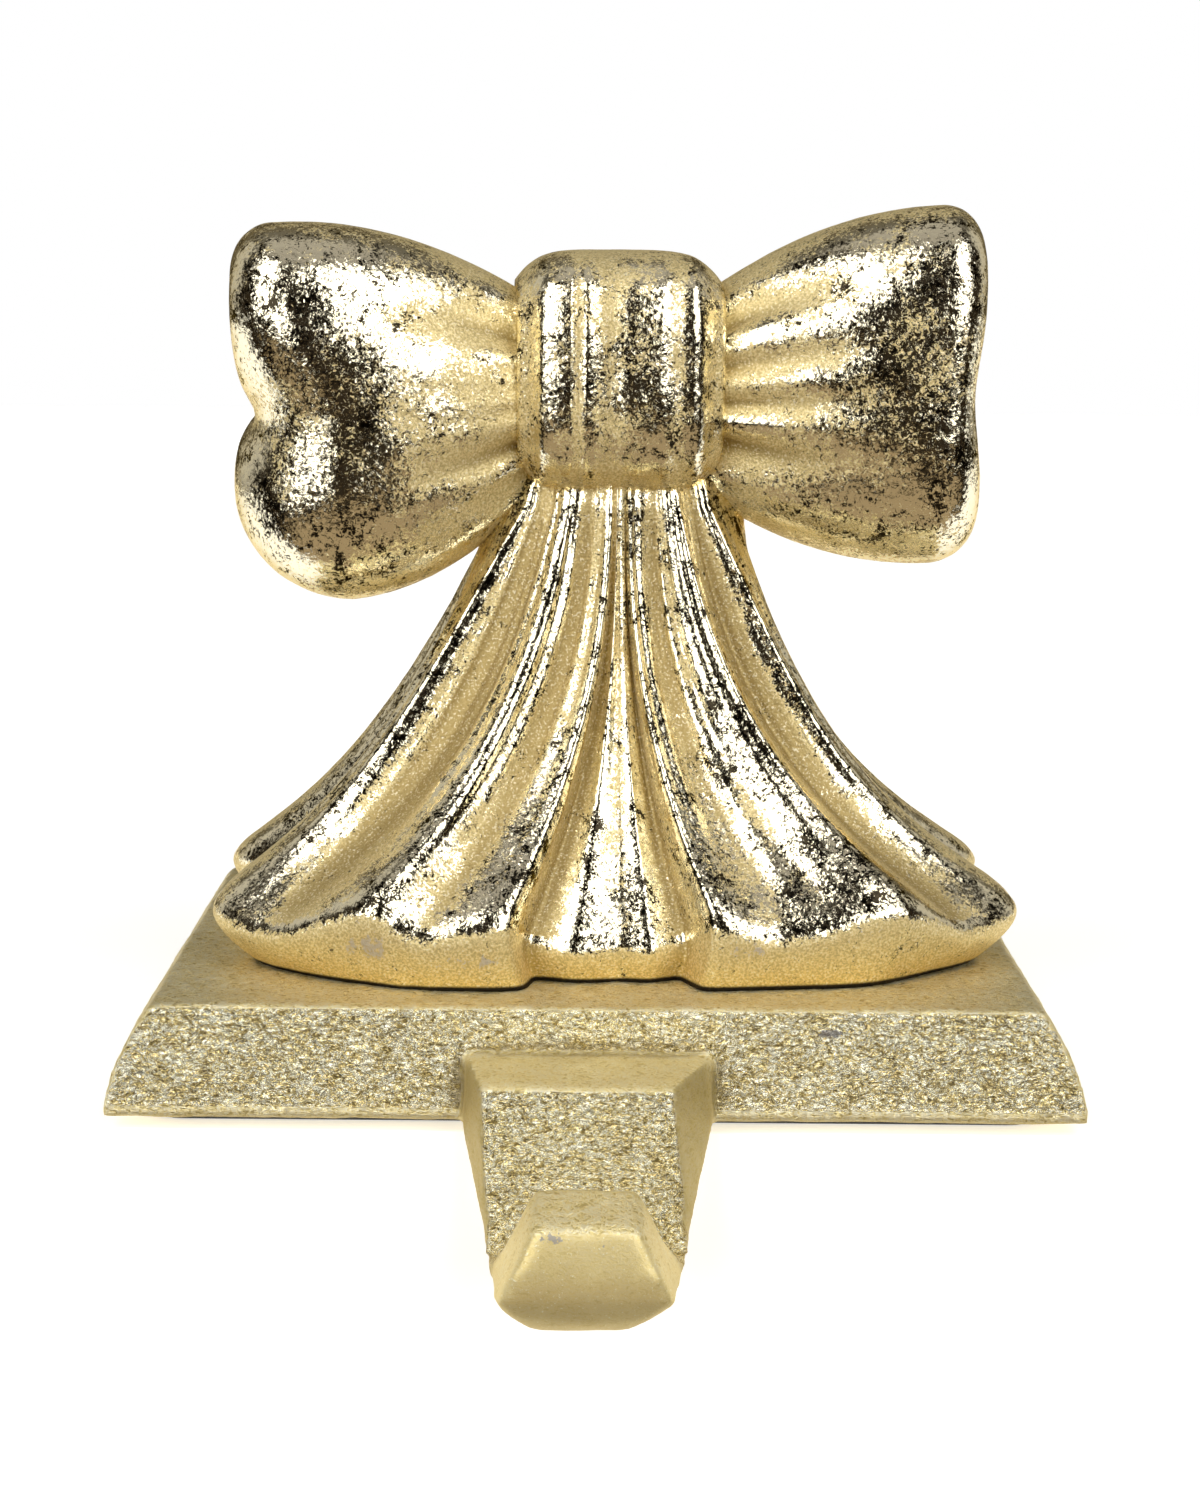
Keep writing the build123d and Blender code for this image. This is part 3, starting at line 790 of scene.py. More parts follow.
@dataclass(frozen=True)
class RibbonTails:
    """The gathered tails, from the neck under the knot to the waved hem and the wall below it."""

    neck_height: float = 56.5
    neck_width: float = 33.0
    neck_depth: float = 25.0
    neck_tuck: float = 0.12
    span: float = 101.8
    depth: float = 70.0
    foot_inset_x: float = 0.12
    foot_inset_y: float = 0.075
    flare_front: float = 2.3
    flare_left: float = 0.67
    flare_right: float = 0.54
    flare_late: int = 3
    fold_depth: float = 1.8
    fold_start: float = 0.25
    wall_power: float = 1.74
    wall_fade: float = 0.05
    lip_levels: float = 3.8
    lip_window: int = 16
    lip_reach: float = 11.0
    lip_line: float = 0.022
    gathers: tuple[int, int] = (84, 53)
    gather_phase: float = 2.0
    gather_depth: float = 0.22
    gather_start: float = 0.12
    gather_run: float = 0.85
    levels: int = 86
    wall_levels: int = 24
    rounds: int = 4
    leaf_mean: float = 0.53
    leaf_fold: float = 0.42
    leaf_range: tuple[float, float] = (0.1, 0.85)
    leaf_hem: float = 0.10
    leaf_hem_power: int = 4
    leaf_side: float = 0.35
    leaf_facing: float = 0.5
    leaf_wall: float = 0.14
    leaf_lip: float = 0.8

    def quarter(self, pleats: tuple[Pleat, ...], flare_side: float, down: np.ndarray) -> np.ndarray:
        """The fold lines of one front quarter.

        Args:
            pleats: The fold lines from the middle of the front to the side.
            flare_side: How soon the side fold lines flare.
            down: Levels, 0 at the neck, 1 at the hem, negative above the neck.

        Returns:
            Points as levels by fold lines by three numbers.
        """
        angle, fold, span, depth, hem = np.array(pleats).T
        turn = np.radians(angle)
        level = down[:, None]
        below = np.clip(level, 0, 1)
        swing = self.fold_start * (1 - below) + (1 - self.fold_start) * np.sin(math.pi * below)
        gather = 1 + np.minimum(level, 0)
        lift = self.fold_depth * fold * swing * gather
        side_flare = below * (flare_side + (1 - flare_side) * below**self.flare_late)
        flare = (1 - span**2) * below**self.flare_front + span**2 * side_flare
        neck_x = gather * self.neck_width / 2 * np.sin(turn)
        neck_y = -gather * self.neck_depth / 2 * np.cos(turn)
        x = neck_x + (span * self.span / 2 - neck_x) * flare + lift * np.sin(turn)
        y = neck_y + (-depth * self.depth / 2 - neck_y) * flare - lift * np.cos(turn)
        z = self.neck_height - level * (self.neck_height - np.where(level > 0, hem, 0))
        return np.stack([x, y, z], axis=2)

    def folds(self, down: np.ndarray) -> np.ndarray:
        """Whole rings of the folds: right side from front to back, then left side from back to front.

        Args:
            down: Levels from the neck to the hem.

        Returns:
            Points as levels by places by three numbers, with fine gathers between the folds.
        """
        right = self.quarter(RIGHT_PLEATS, self.flare_right, down)
        left = self.quarter(LEFT_PLEATS, self.flare_left, down) * (-1, 1, 1)
        back = (1, -1, 1)
        parts = (right, (right * back)[:, -2::-1], (left * back)[:, 1:], left[:, -2:0:-1])
        ring = finer_ring(np.concatenate(parts, axis=1), self.rounds)
        middle = ring[len(ring) // 2]
        length = np.linalg.norm(np.roll(middle, -1, axis=0) - middle, axis=1).cumsum()
        ripple = ripples(2 * math.pi * length / length[-1], self.gathers, self.gather_phase)
        run = np.clip(down * self.gather_run + self.gather_start, 0, 1)
        depth = self.gather_depth * np.sin(math.pi * run)
        tangent = np.roll(ring, -1, axis=1) - np.roll(ring, 1, axis=1)
        outward = np.stack([tangent[:, :, 1], -tangent[:, :, 0], np.zeros(tangent.shape[:2])], axis=2)
        outward /= np.linalg.norm(outward, axis=2, keepdims=True) + TINY
        return ring + outward * (depth[:, None] * ripple[None])[:, :, None]

    def tube(self) -> Tube:
        """Builds the tails, with a rounded lip at the hem.

        Returns:
            Their closed skin.
        """
        folds = self.folds(np.concatenate([[-self.neck_tuck], np.linspace(0, 1, self.levels)]))
        sunk = np.linspace(0, 1, self.wall_levels)[1:, None]
        inset = sunk**self.wall_power
        hem = folds[-1]
        x = hem[:, 0] * (1 - self.foot_inset_x * inset)
        y = hem[:, 1] * (1 - self.foot_inset_y * inset)
        z = hem[:, 2] * (1 - sunk)
        sharp = np.concatenate([folds, np.stack([x, y, z], axis=2)])
        reach = np.arange(-self.lip_window, self.lip_window + 1)
        weights = np.exp(-((reach / self.lip_levels) ** 2) / 2)
        weights /= weights.sum()
        level = np.arange(len(sharp))
        soft = sum(w * sharp[np.clip(level + r, 0, len(sharp) - 1)] for w, r in zip(weights, reach))
        near = bell(level - len(folds) + 1, self.lip_reach)[:, None, None]
        return Tube(sharp + (soft - sharp) * near)

    def burnish(self, tube: Tube, fold: np.ndarray) -> np.ndarray:
        """How burnished the tails are: more on the crests and by the hem, hardly at all on the wall.

        Args:
            tube: The tails' skin.
            fold: How deep each point lies in a fold.

        Returns:
            A share for each point.
        """
        level = np.arange(len(fold))[:, None] / (self.levels + 1)
        wall = np.clip((level - 1) / self.wall_fade, 0, 1)
        front = np.clip(np.abs(tube.normals[:, :, 1]) / self.leaf_facing, 0, 1)
        share = np.clip(self.leaf_mean - self.leaf_fold * fold, *self.leaf_range)
        share = share + self.leaf_hem * level**self.leaf_hem_power
        share = share * (self.leaf_side + (1 - self.leaf_side) * front)
        share = share * (1 - wall) + self.leaf_wall * wall
        return np.maximum(share, self.leaf_lip * bell(level - 1, self.lip_line))


@dataclass(frozen=True)
class BowKnot:
    """The knot: a short barrel across the middle with upright flutes and round ends."""

    width: float = 25.6
    height: float = 30.4
    depth: float = 34.0
    middle: float = 72.7
    round_end: float = 3.8
    round_power: int = 5
    squareness: float = 3.6
    flute_depth: float = 0.6
    levels: int = 160
    places: int = 360
    leaf_mean: float = 0.18
    leaf_facing: float = 0.34
    leaf_fold: float = 0.35
    leaf_range: tuple[float, float] = (0.1, 0.7)
    flutes: tuple[tuple[float, float], ...] = (
        (-1.0, 0.0),
        (-0.88, 1.0),
        (-0.74, 0.0),
        (-0.5, 0.0),
        (-0.42, 0.7),
        (-0.34, 0.1),
        (-0.16, 0.8),
        (0.1, 0.0),
        (0.36, 0.1),
        (0.56, 1.0),
        (0.72, 0.1),
        (0.88, 1.0),
        (1.0, 0.0),
    )

    def tube(self) -> Tube:
        """Builds the knot.

        Returns:
            Its closed skin.
        """
        places, sunk = np.array(self.flutes).T
        across = np.linspace(-1, 1, self.levels)
        eased = np.interp(across, places, np.arange(len(places)))
        step = np.floor(eased).clip(max=len(places) - 2).astype(int)
        share = (1 - np.cos(math.pi * (eased - step))) / 2
        flute = sunk[step] + (sunk[step + 1] - sunk[step]) * share
        turn = np.linspace(0, 2 * math.pi, self.places, endpoint=False)[None]
        draw_in = flute[:, None] * self.flute_depth * np.sin(turn) ** 2
        draw_in = draw_in + self.round_end * np.abs(across[:, None]) ** self.round_power
        radius = oval(turn, self.depth / 2 - draw_in, self.height / 2 - draw_in, self.squareness)
        x = np.broadcast_to(across[:, None] * self.width / 2, radius.shape)
        z = self.middle + radius * np.cos(turn)
        return Tube(np.stack([x, -radius * np.sin(turn), z], axis=2))

    def burnish(self, tube: Tube, fold: np.ndarray) -> np.ndarray:
        """How burnished the knot is: more on the flutes' crests and in the middle of the front.

        Args:
            tube: The knot's skin.
            fold: How deep each point lies between flutes.

        Returns:
            A share for each point.
        """
        facing = np.abs(tube.normals[:, :, 1])
        share = self.leaf_mean + self.leaf_facing * facing - self.leaf_fold * fold
        return np.clip(share, *self.leaf_range)


@dataclass(frozen=True)
class BowLoop:
    """One puffed loop, pinched at the knot, with a round end that dips to a notch."""

    side: Side
    length: float
    height: float
    middle: float
    round_top: float
    round_bottom: float
    notch: float
    notch_turn: float
    waist: float
    front_round: float
    creases: tuple[Crease, ...]
    start: float = 7.6
    depth: float = 36.0
    pinch_height: float = 20.0
    pinch_depth: float = 20.0
    pinch_middle: float = 69.8
    squareness: float = 2.2
    squarer: float = 1.3
    front_power: int = 4
    crease_fade: float = 1.3
    crease_spread: float = 0.6
    waist_spread: float = 26.0
    notch_spread: float = 28.0
    valley_width: float = 6.5
    hub_share: float = 0.02
    puckers: tuple[int, int] = (31, 19)
    pucker_phase: float = 1.0
    pucker_depth: float = 0.22
    pucker_fade: int = 3
    places: int = 480
    out_levels: int = 104
    end_levels: int = 26
    cap_levels: int = 16
    leaf_knot: float = 0.25
    leaf_end: float = 0.40
    leaf_from: float = 0.35
    leaf_run: float = 0.3
    leaf_side: float = 0.5
    leaf_facing: float = 0.42
    leaf_fold: float = 0.3
    leaf_range: tuple[float, float] = (0.08, 0.7)

    def rings(self, out: np.ndarray, bend: np.ndarray) -> np.ndarray:
        """Rings of the loop.

        Args:
            out: 0 at the knot to 1 at the shoulder, one for each ring.
            bend: Turn round the end in radians, one for each ring.

        Returns:
            Points as levels by places by three numbers.
        """
        out, bend = out[:, None], bend[:, None]
        swell = 1 - (1 - out) ** 2
        half_height = (self.pinch_height + (self.height - self.pinch_height) * swell) / 2
        half_depth = (self.pinch_depth + (self.depth - self.pinch_depth) * swell) / 2
        middle = self.pinch_middle + (self.middle - self.pinch_middle) * out
        turn = np.linspace(0, 2 * math.pi, self.places, endpoint=False)[None]
        facing = np.minimum(np.degrees(turn), 360 - np.degrees(turn))
        end_round = self.round_top + (self.round_bottom - self.round_top) * (1 - np.cos(turn)) / 2
        end_round = end_round + self.front_round * np.sin(turn) ** self.front_power
        radius = oval(turn, half_depth, half_height, self.squareness + self.squarer * out)
        radius = radius - end_round * (1 - np.cos(bend))
        radius = radius - self.waist * out**2 * bell(facing - self.notch_turn, self.waist_spread)
        for crease in self.creases:
            near = bell(facing - crease.turn, crease.width * (1 + self.crease_spread * out))
            radius = radius - crease.depth * (1 - out) ** self.crease_fade * near
        ripple = ripples(turn, self.puckers, self.pucker_phase)
        radius = radius - self.pucker_depth * (1 - out) ** self.pucker_fade * ripple
        dip = self.notch * bend / (math.pi / 2) * bell(facing - self.notch_turn, self.notch_spread)
        x = self.start + (self.length - end_round - self.start) * out + end_round * np.sin(bend) - dip
        y, z = -radius * np.sin(turn), middle + radius * np.cos(turn)
        return np.stack([self.side.value * x, y, z], axis=2)

    def tube(self) -> Tube:
        """Builds the loop.

        Returns:
            Its closed skin.
        """
        out = np.concatenate([np.linspace(0, 1, self.out_levels), np.ones(self.end_levels)])
        turns = np.linspace(0, math.pi / 2, self.end_levels + 1)[1:]
        body = self.rings(out, np.concatenate([np.zeros(self.out_levels), turns]))
        rim = body[-1]
        hub = np.array([self.side.value * self.length, 0, self.middle])
        share = np.linspace(1, self.hub_share, self.cap_levels)[1:, None, None]
        cap = hub + (rim - hub) * share
        valley = self.notch * bell(cap[:, :, 2] - self.middle, self.valley_width)
        cap[:, :, 0] -= self.side.value * valley * (1 - share[:, :, 0])
        return Tube(np.concatenate([body, cap]))

    def burnish(self, tube: Tube, fold: np.ndarray) -> np.ndarray:
        """How burnished the loop is: satin by the knot, on the edges and in creases.

        Args:
            tube: The loop's skin.
            fold: How deep each point lies in a crease.

        Returns:
            A share for each point.
        """
        out = np.clip(np.abs(tube.points[:, :, 0]) / self.length, 0, 1)
        facing = np.abs(tube.normals[:, :, 1])
        share = self.leaf_knot + self.leaf_end * np.clip((out - self.leaf_from) / self.leaf_run, 0, 1)
        share = share * (self.leaf_side + self.leaf_facing * facing) - self.leaf_fold * fold
        return np.clip(share, *self.leaf_range)


class Scuff(NamedTuple):
    """A worn or rubbed place: its middle and reach in millimetres and its strength."""

    place: Triple
    reach: Triple
    strength: float


def mesh_points(mesh: bpy.types.Mesh) -> np.ndarray:
    """The mesh's points in millimetres.

    Args:
        mesh: The mesh.

    Returns:
        Points by three numbers.
    """
    points = np.empty(len(mesh.vertices) * 3, np.float32)
    mesh.vertices.foreach_get("co", points)
    return points.reshape(-1, 3) / MM


def paint(mesh: bpy.types.Mesh, name: str, values: np.ndarray) -> None:
    """Keeps one number for each point of a mesh.

    Args:
        mesh: The mesh.
        name: The attribute's name.
        values: The numbers.
    """
    made = mesh.attributes.new(name, "FLOAT", "POINT")
    made.data.foreach_set("value", values.astype(np.float32).ravel())


def wear(points: np.ndarray, scuffs: tuple[Scuff, ...]) -> np.ndarray:
    """How worn each point is.

    Args:
        points: Points in millimetres.
        scuffs: The worn places.

    Returns:
        One number for each point, 0 where it isn't worn.
    """
    worn = np.zeros(len(points))
    for scuff in scuffs:
        off = (points - scuff.place) / scuff.reach
        worn = np.maximum(worn, scuff.strength * np.exp(-(off**2).sum(axis=1)))
    return worn


def linked(name: str, data: bpy.types.ID) -> bpy.types.Object:
    """Puts a mesh, a light or a camera into the scene.

    Args:
        name: The object's name.
        data: Its mesh, light or camera.

    Returns:
        The object.
    """
    made = bpy.data.objects.new(name, data)
    bpy.context.scene.collection.objects.link(made)
    return made


def edited(mesh: bpy.types.Mesh, edit: Callable[[bmesh.types.BMesh], None]) -> bpy.types.Mesh:
    """Changes a mesh in place.

    Args:
        mesh: The mesh.
        edit: What is done to its points and faces.

    Returns:
        The same mesh.
    """
    work = bmesh.new()
    work.from_mesh(mesh)
    edit(work)
    work.to_mesh(mesh)
    work.free()
    return mesh


def welded(node: str, edit: Callable[[bmesh.types.BMesh], None]) -> bpy.types.Mesh:
    """Copies a modelled solid, merges its doubles and changes it.

    Args:
        node: The solid's name.
        edit: What is done to its merged points and faces.

    Returns:
        The copy.
    """

    def weld(work: bmesh.types.BMesh) -> None:
        """Merges the doubles, then makes the change."""
        bmesh.ops.remove_doubles(work, verts=work.verts, dist=MERGE * MM)
        edit(work)

    return edited(bpy.data.objects[node].data.copy(), weld)


def finished_mesh(source: bpy.types.Object, name: str) -> bpy.types.Object:
    """Turns an object with modifiers into a plain, smooth-shaded mesh object.

    Args:
        source: The object, which is removed.
        name: The new object's name.

    Returns:
        The new object.
    """
    graph = bpy.context.evaluated_depsgraph_get()
    mesh = bpy.data.meshes.new_from_object(source.evaluated_get(graph))
    bpy.data.objects.remove(source)
    mesh.name = name
    mesh.polygons.foreach_set("use_smooth", np.ones(len(mesh.polygons), bool))
    return linked(name, mesh)


def coated(thing: bpy.types.Object, finish: Finish) -> bpy.types.Object:
    """Gives a piece one finish all over.

    Args:
        thing: The piece.
        finish: Its finish.

    Returns:
        The same piece.
    """
    thing.data.materials.clear()
    thing.data.materials.append(finish.material())
    return thing


@dataclass(frozen=True)
class Relief:
    """How rough a cast skin is, in millimetres."""

    wave_size: float
    wave_depth: float
    grain_size: float
    grain_depth: float


class SkinTree:
    """A geometry node tree that gives a casting its uneven, grainy skin and its material."""

    INPUTS = (
        ("Wave size", "wave_size"),
        ("Wave depth", "wave_depth"),
        ("Grain size", "grain_size"),
        ("Grain depth", "grain_depth"),
    )
    WAVE_DETAIL = 2.0
    GRAIN_DETAIL = 1.0
    WARP = 0.6

    def __init__(self, name: str, finish: Finish) -> None:
        """Builds the tree.

        Args:
            name: The tree's name.
            finish: The finish that the skin gets.
        """
        self.tree = bpy.data.node_groups.new(name, "GeometryNodeTree")
        face = self.tree.interface
        face.new_socket("Geometry", in_out="OUTPUT", socket_type="NodeSocketGeometry")
        face.new_socket("Geometry", in_out="INPUT", socket_type="NodeSocketGeometry")
        self.ids = {
            label: face.new_socket(label, in_out="INPUT", socket_type="NodeSocketFloat").identifier
            for label, _ in self.INPUTS
        }
        g = Graph(self.tree)
        given = g.node("NodeGroupInput").outputs
        place = g.out("GeometryNodeInputPosition", 0)
        normal = g.out("GeometryNodeInputNormal", 0)
        shape = self.prepared(g, given["Geometry"], place, normal)
        named = {"Name": "coarse"}
        coarse = g.out("GeometryNodeInputNamedAttribute", "Attribute", named, data_type="FLOAT")
        wave = self.centred(g, place, given["Wave size"], self.WAVE_DETAIL, given["Wave depth"])
        grain = self.centred(g, place, given["Grain size"], self.GRAIN_DETAIL, given["Grain depth"])
        push = g.scaled(normal, g.plus(wave, grain, coarse))
        shape = g.out("GeometryNodeSetPosition", 0, {"Geometry": shape, "Offset": push})
        shape = g.out("GeometryNodeRealizeInstances", 0, {"Geometry": shape})
        shape = g.out("GeometryNodeSetMaterial", 0, {"Geometry": shape, "Material": finish.material()})
        g.node("NodeGroupOutput", {"Geometry": shape})

    def prepared(self, g: Graph, shape: Any, place: Any, normal: Any) -> Any:
        """The shape before it is roughened, with how coarse each point is kept as `coarse`."""
        return self.stored(g, shape, "coarse", 1.0)

    @staticmethod
    def blurred(g: Graph, value: Any, steps: int, weight: Any = 1.0) -> Any:
        """A point's place averaged with its neighbours' over some steps."""
        inputs = {"Value": value, "Iterations": steps, "Weight": weight}
        return g.out("GeometryNodeBlurAttribute", "Value", inputs, data_type="FLOAT_VECTOR")

    @staticmethod
    def stored(g: Graph, shape: Any, name: str, value: Any) -> Any:
        """The shape with a value kept at its points under a name."""
        inputs = {"Geometry": shape, "Name": name, "Value": value}
        return g.out("GeometryNodeStoreNamedAttribute", 0, inputs, data_type="FLOAT", domain="POINT")

    def centred(self, g: Graph, place: Any, size: Any, detail: float, depth: Any) -> Any:
        """Noise about zero.

        Args:
            g: The tree.
            place: The points' places.
            size: The socket of the features' size.
            detail: How many finer layers are added.
            depth: The socket of the greatest depth.

        Returns:
            The noise's socket.
        """
        scale = g.math("DIVIDE", 1.0, size)
        inputs = {"Vector": place, "Scale": scale, "Detail": detail, "Distortion": self.WARP}
        flat = g.math("SUBTRACT", g.out("ShaderNodeTexNoise", 0, inputs), NOISE_MEAN)
        return g.chain("MULTIPLY", flat, 2.0, depth)

    def apply(self, thing: bpy.types.Object, relief: Relief) -> None:
        """Adds this tree to an object.

        Args:
            thing: The object with the plain casting.
            relief: Its roughness.
        """
        skin = thing.modifiers.new("skin", "NODES")
        skin.node_group = self.tree
        for label, name in self.INPUTS:
            skin[self.ids[label]] = getattr(relief, name) * MM


class SandSkin(SkinTree):
    """The base's skin: worn edges, a round finger, and coarse grain on the faces that the sand shaped.

    The bands from FINGER to THROAT are places in metres, those from FLANK to TIP are how far a face looks
    sideways, forwards or up, and the shares say how coarse the grain is on each part.
    """

    EDGE_STEPS = 2
    HOOK_STEPS = 7
    FOLD_STEPS = 24
    FOLD_REACH = 0.45 * MM
    FINGER = Band(-60.0 * MM, -64.0 * MM)
    CHIN = Band(-10.0 * MM, -14.0 * MM)
    PLATE = Band(-45.0 * MM, -41.0 * MM)
    STRIP = Band(3.6 * MM, 2.4 * MM)
    THROAT = Band(-50.0 * MM, -52.0 * MM)
    FLANK = Band(0.25, 0.6)
    FRONT = Band(0.55, 0.85)
    FLOOR = Band(0.2, 0.5)
    ENDS = Band(0.6, 0.9)
    TOP = Band(0.5, 0.8)
    TIP = Band(0.3, 0.55)
    END_SHARE = 0.6
    TIP_SHARE = 0.45
    TOP_SHARE = 0.6
    ARM_SHARE = 0.34
    LEAST = 0.12
    STRIP_LOSS = 0.6
    # Painted shade on the arm's flanks: its greatest strength.
    FLANK_SHADE = 0.8

    def prepared(self, g: Graph, shape: Any, place: Any, normal: Any) -> Any:
        """Smooths the shape, and keeps `fold` and `coarse` at its points; `fold` carries painted shade in
        crevices and on the arm's flanks.

        Args:
            g: The tree.
            shape: The plain casting's socket.
            place: The points' places.
            normal: The points' normals.

        Returns:
            The socket of the shape before it is roughened.
        """
        spot, facing = g.axes(place), g.axes(normal)
        deep, high, up = spot["Y"], spot["Z"], facing["Z"]
        sideways = g.math("ABSOLUTE", facing["X"])
        forwards = g.math("ABSOLUTE", facing["Y"])
        finger = g.ramp(deep, self.FINGER)
        plate = g.ramp(deep, self.PLATE)
        arm = g.rest(g.math("MAXIMUM", plate, finger))
        hook = g.math("MAXIMUM", finger, g.ramp(high, self.CHIN))
        for steps, weight in ((self.EDGE_STEPS, 1.0), (self.HOOK_STEPS, hook)):
            soft = self.blurred(g, place, steps, weight)
            shape = g.out("GeometryNodeSetPosition", 0, {"Geometry": shape, "Position": soft})
        # How deep each point lies in a crevice, which the paint darkens as painted shade.
        inward = g.vector("SUBTRACT", self.blurred(g, place, self.FOLD_STEPS), place)
        depth = g.out("ShaderNodeVectorMath", "Value", {0: inward, 1: normal}, operation="DOT_PRODUCT")
        # Painted shade on the arm's sideways faces, kept with the crevices in `fold`.
        flank_shade = g.chain("MULTIPLY", g.ramp(sideways, self.FLANK), arm, self.FLANK_SHADE)
        fold = g.math("MAXIMUM", g.math("DIVIDE", depth, self.FOLD_REACH), flank_shade)
        shape = self.stored(g, shape, "fold", fold)
        strip = g.plus(1.0, g.ramp(high, self.STRIP), g.math("MULTIPLY", plate, -self.STRIP_LOSS))
        front = g.math("MULTIPLY", g.ramp(forwards, self.FRONT), strip)
        throat = g.math("MULTIPLY", g.ramp(up, self.FLOOR), g.ramp(deep, self.THROAT))
        front = g.math("MULTIPLY", g.math("MAXIMUM", front, throat), g.rest(finger))
        ends = g.chain("MULTIPLY", g.ramp(sideways, self.ENDS), plate, self.END_SHARE)
        tip = g.chain("MULTIPLY", g.ramp(up, self.TIP), finger, self.TIP_SHARE)
        top = g.chain("MULTIPLY", g.ramp(up, self.TOP), plate, self.TOP_SHARE)
        bar = g.math("MULTIPLY", arm, self.ARM_SHARE)
        coarse = g.chain("MAXIMUM", front, ends, tip, top, bar, self.LEAST)
        return self.stored(g, shape, "coarse", coarse)


@dataclass
class BowFigure:
    """The bow in one casting, as the skins of its tails, its two loops and its knot."""

    shift: float = 1.8
    turn: float = 2.5
    tails: RibbonTails = RibbonTails()
    knot: BowKnot = BowKnot()
    left: BowLoop = BowLoop(
        Side.LEFT,
        length=47.9,
        height=46.8,
        middle=67.5,
        round_top=5.2,
        round_bottom=15.0,
        notch=2.8,
        notch_turn=92.0,
        waist=0.5,
        front_round=3.5,
        creases=(Crease(50.0, 9.0, 2.6), Crease(118.0, 8.0, 2.8), Crease(136.0, 6.0, 1.6)),
    )
    right: BowLoop = BowLoop(
        Side.RIGHT,
        length=44.8,
        height=44.8,
        middle=71.4,
        round_top=4.2,
        round_bottom=6.0,
        notch=1.4,
        notch_turn=95.0,
        waist=0.2,
        front_round=0.0,
        creases=(
            Crease(46.0, 7.0, 2.2),
            Crease(72.0, 6.0, 1.6),
            Crease(94.0, 6.0, 1.4),
            Crease(122.0, 9.0, 3.2),
        ),
    )
    relief: Relief = Relief(wave_size=5.0, wave_depth=0.09, grain_size=1.6, grain_depth=0.02)
    fold_width: float = 2.2
    fold_depth: float = 0.45
    foot_height: float = 9.0
    foot_fade: float = 2.2
    # Places of more burnish: more mirror leaf, and more dark flecks that are partly painted dark
    # reflections.
    polish: tuple[Scuff, ...] = (
        Scuff((15.0, -22.0, 46.0), (5.0, 10.0, 13.0), 0.30),
        Scuff((30.0, -30.0, 28.0), (8.0, 10.0, 8.0), 0.22),
        Scuff((2.0, -31.0, 22.0), (5.0, 8.0, 6.0), 0.25),
        Scuff((-38.0, -16.0, 88.0), (12.0, 20.0, 16.0), 0.15),
        Scuff((-32.0, -18.0, 66.0), (9.0, 16.0, 7.0), 0.20),
        Scuff((-45.0, -6.0, 80.0), (5.0, 14.0, 22.0), 0.34),
        Scuff((46.0, -6.0, 84.0), (4.0, 14.0, 22.0), 0.28),
    )
    scuffs: tuple[Scuff, ...] = (
        Scuff((-28.0, -34.0, 20.2), (6.0, 4.0, 2.6), 0.75),
        Scuff((-15.0, -34.0, 18.7), (5.0, 4.0, 2.0), 0.6),
        Scuff((18.0, -33.0, 20.2), (4.0, 4.0, 1.6), 0.65),
        Scuff((33.0, -33.0, 21.7), (5.0, 4.0, 1.8), 0.6),
    )

    def build(self) -> list[bpy.types.Object]:
        """Makes the bow and dresses it.

        Returns:
            The skins, riding on the part's body in place of the plain solid.
        """
        skin = SkinTree("leaf_skin", GoldLeaf())
        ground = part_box("bow_figure")[0].z
        plan = (
            ("leafed_tails", self.tails, False),
            ("leafed_left_loop", self.left, False),
            ("leafed_right_loop", self.right, False),
            ("leafed_knot", self.knot, True),
        )
        return [self.piece(skin, ground, *row) for row in plan]

    def piece(
        self, skin: SkinTree, ground: float, name: str, form: RibbonTails | BowKnot | BowLoop, fluted: bool
    ) -> bpy.types.Object:
        """Makes one skin and dresses it.

        Args:
            skin: The tree that roughens it.
            ground: The plate's top in metres.
            name: The object's name.
            form: Its shape.
            fluted: Whether its folds run round it.

        Returns:
            The skin's object.
        """
        tube = form.tube()
        mesh = tube.mesh(name, self.turn, (self.shift * MM, 0, ground))
        fold = tube.hollows(self.fold_width, self.fold_depth, fluted)
        points = mesh_points(mesh)
        height = (points[:, 2] - ground / MM) / self.foot_height
        # `fold` gives the leaf its painted shade in the folds and lowers its burnish.
        paint(mesh, "fold", fold)
        paint(mesh, "burnish", form.burnish(tube, fold).reshape(-1) + wear(points, self.polish))
        paint(mesh, "foot", np.clip(1 - height, 0, 1) ** self.foot_fade)
        paint(mesh, "wear", wear(points, self.scuffs))
        plain = linked("plain_skin", mesh)
        skin.apply(plain, self.relief)
        made = finished_mesh(plain, name)
        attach(made, BODY)
        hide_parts("bow_figure")
        return made


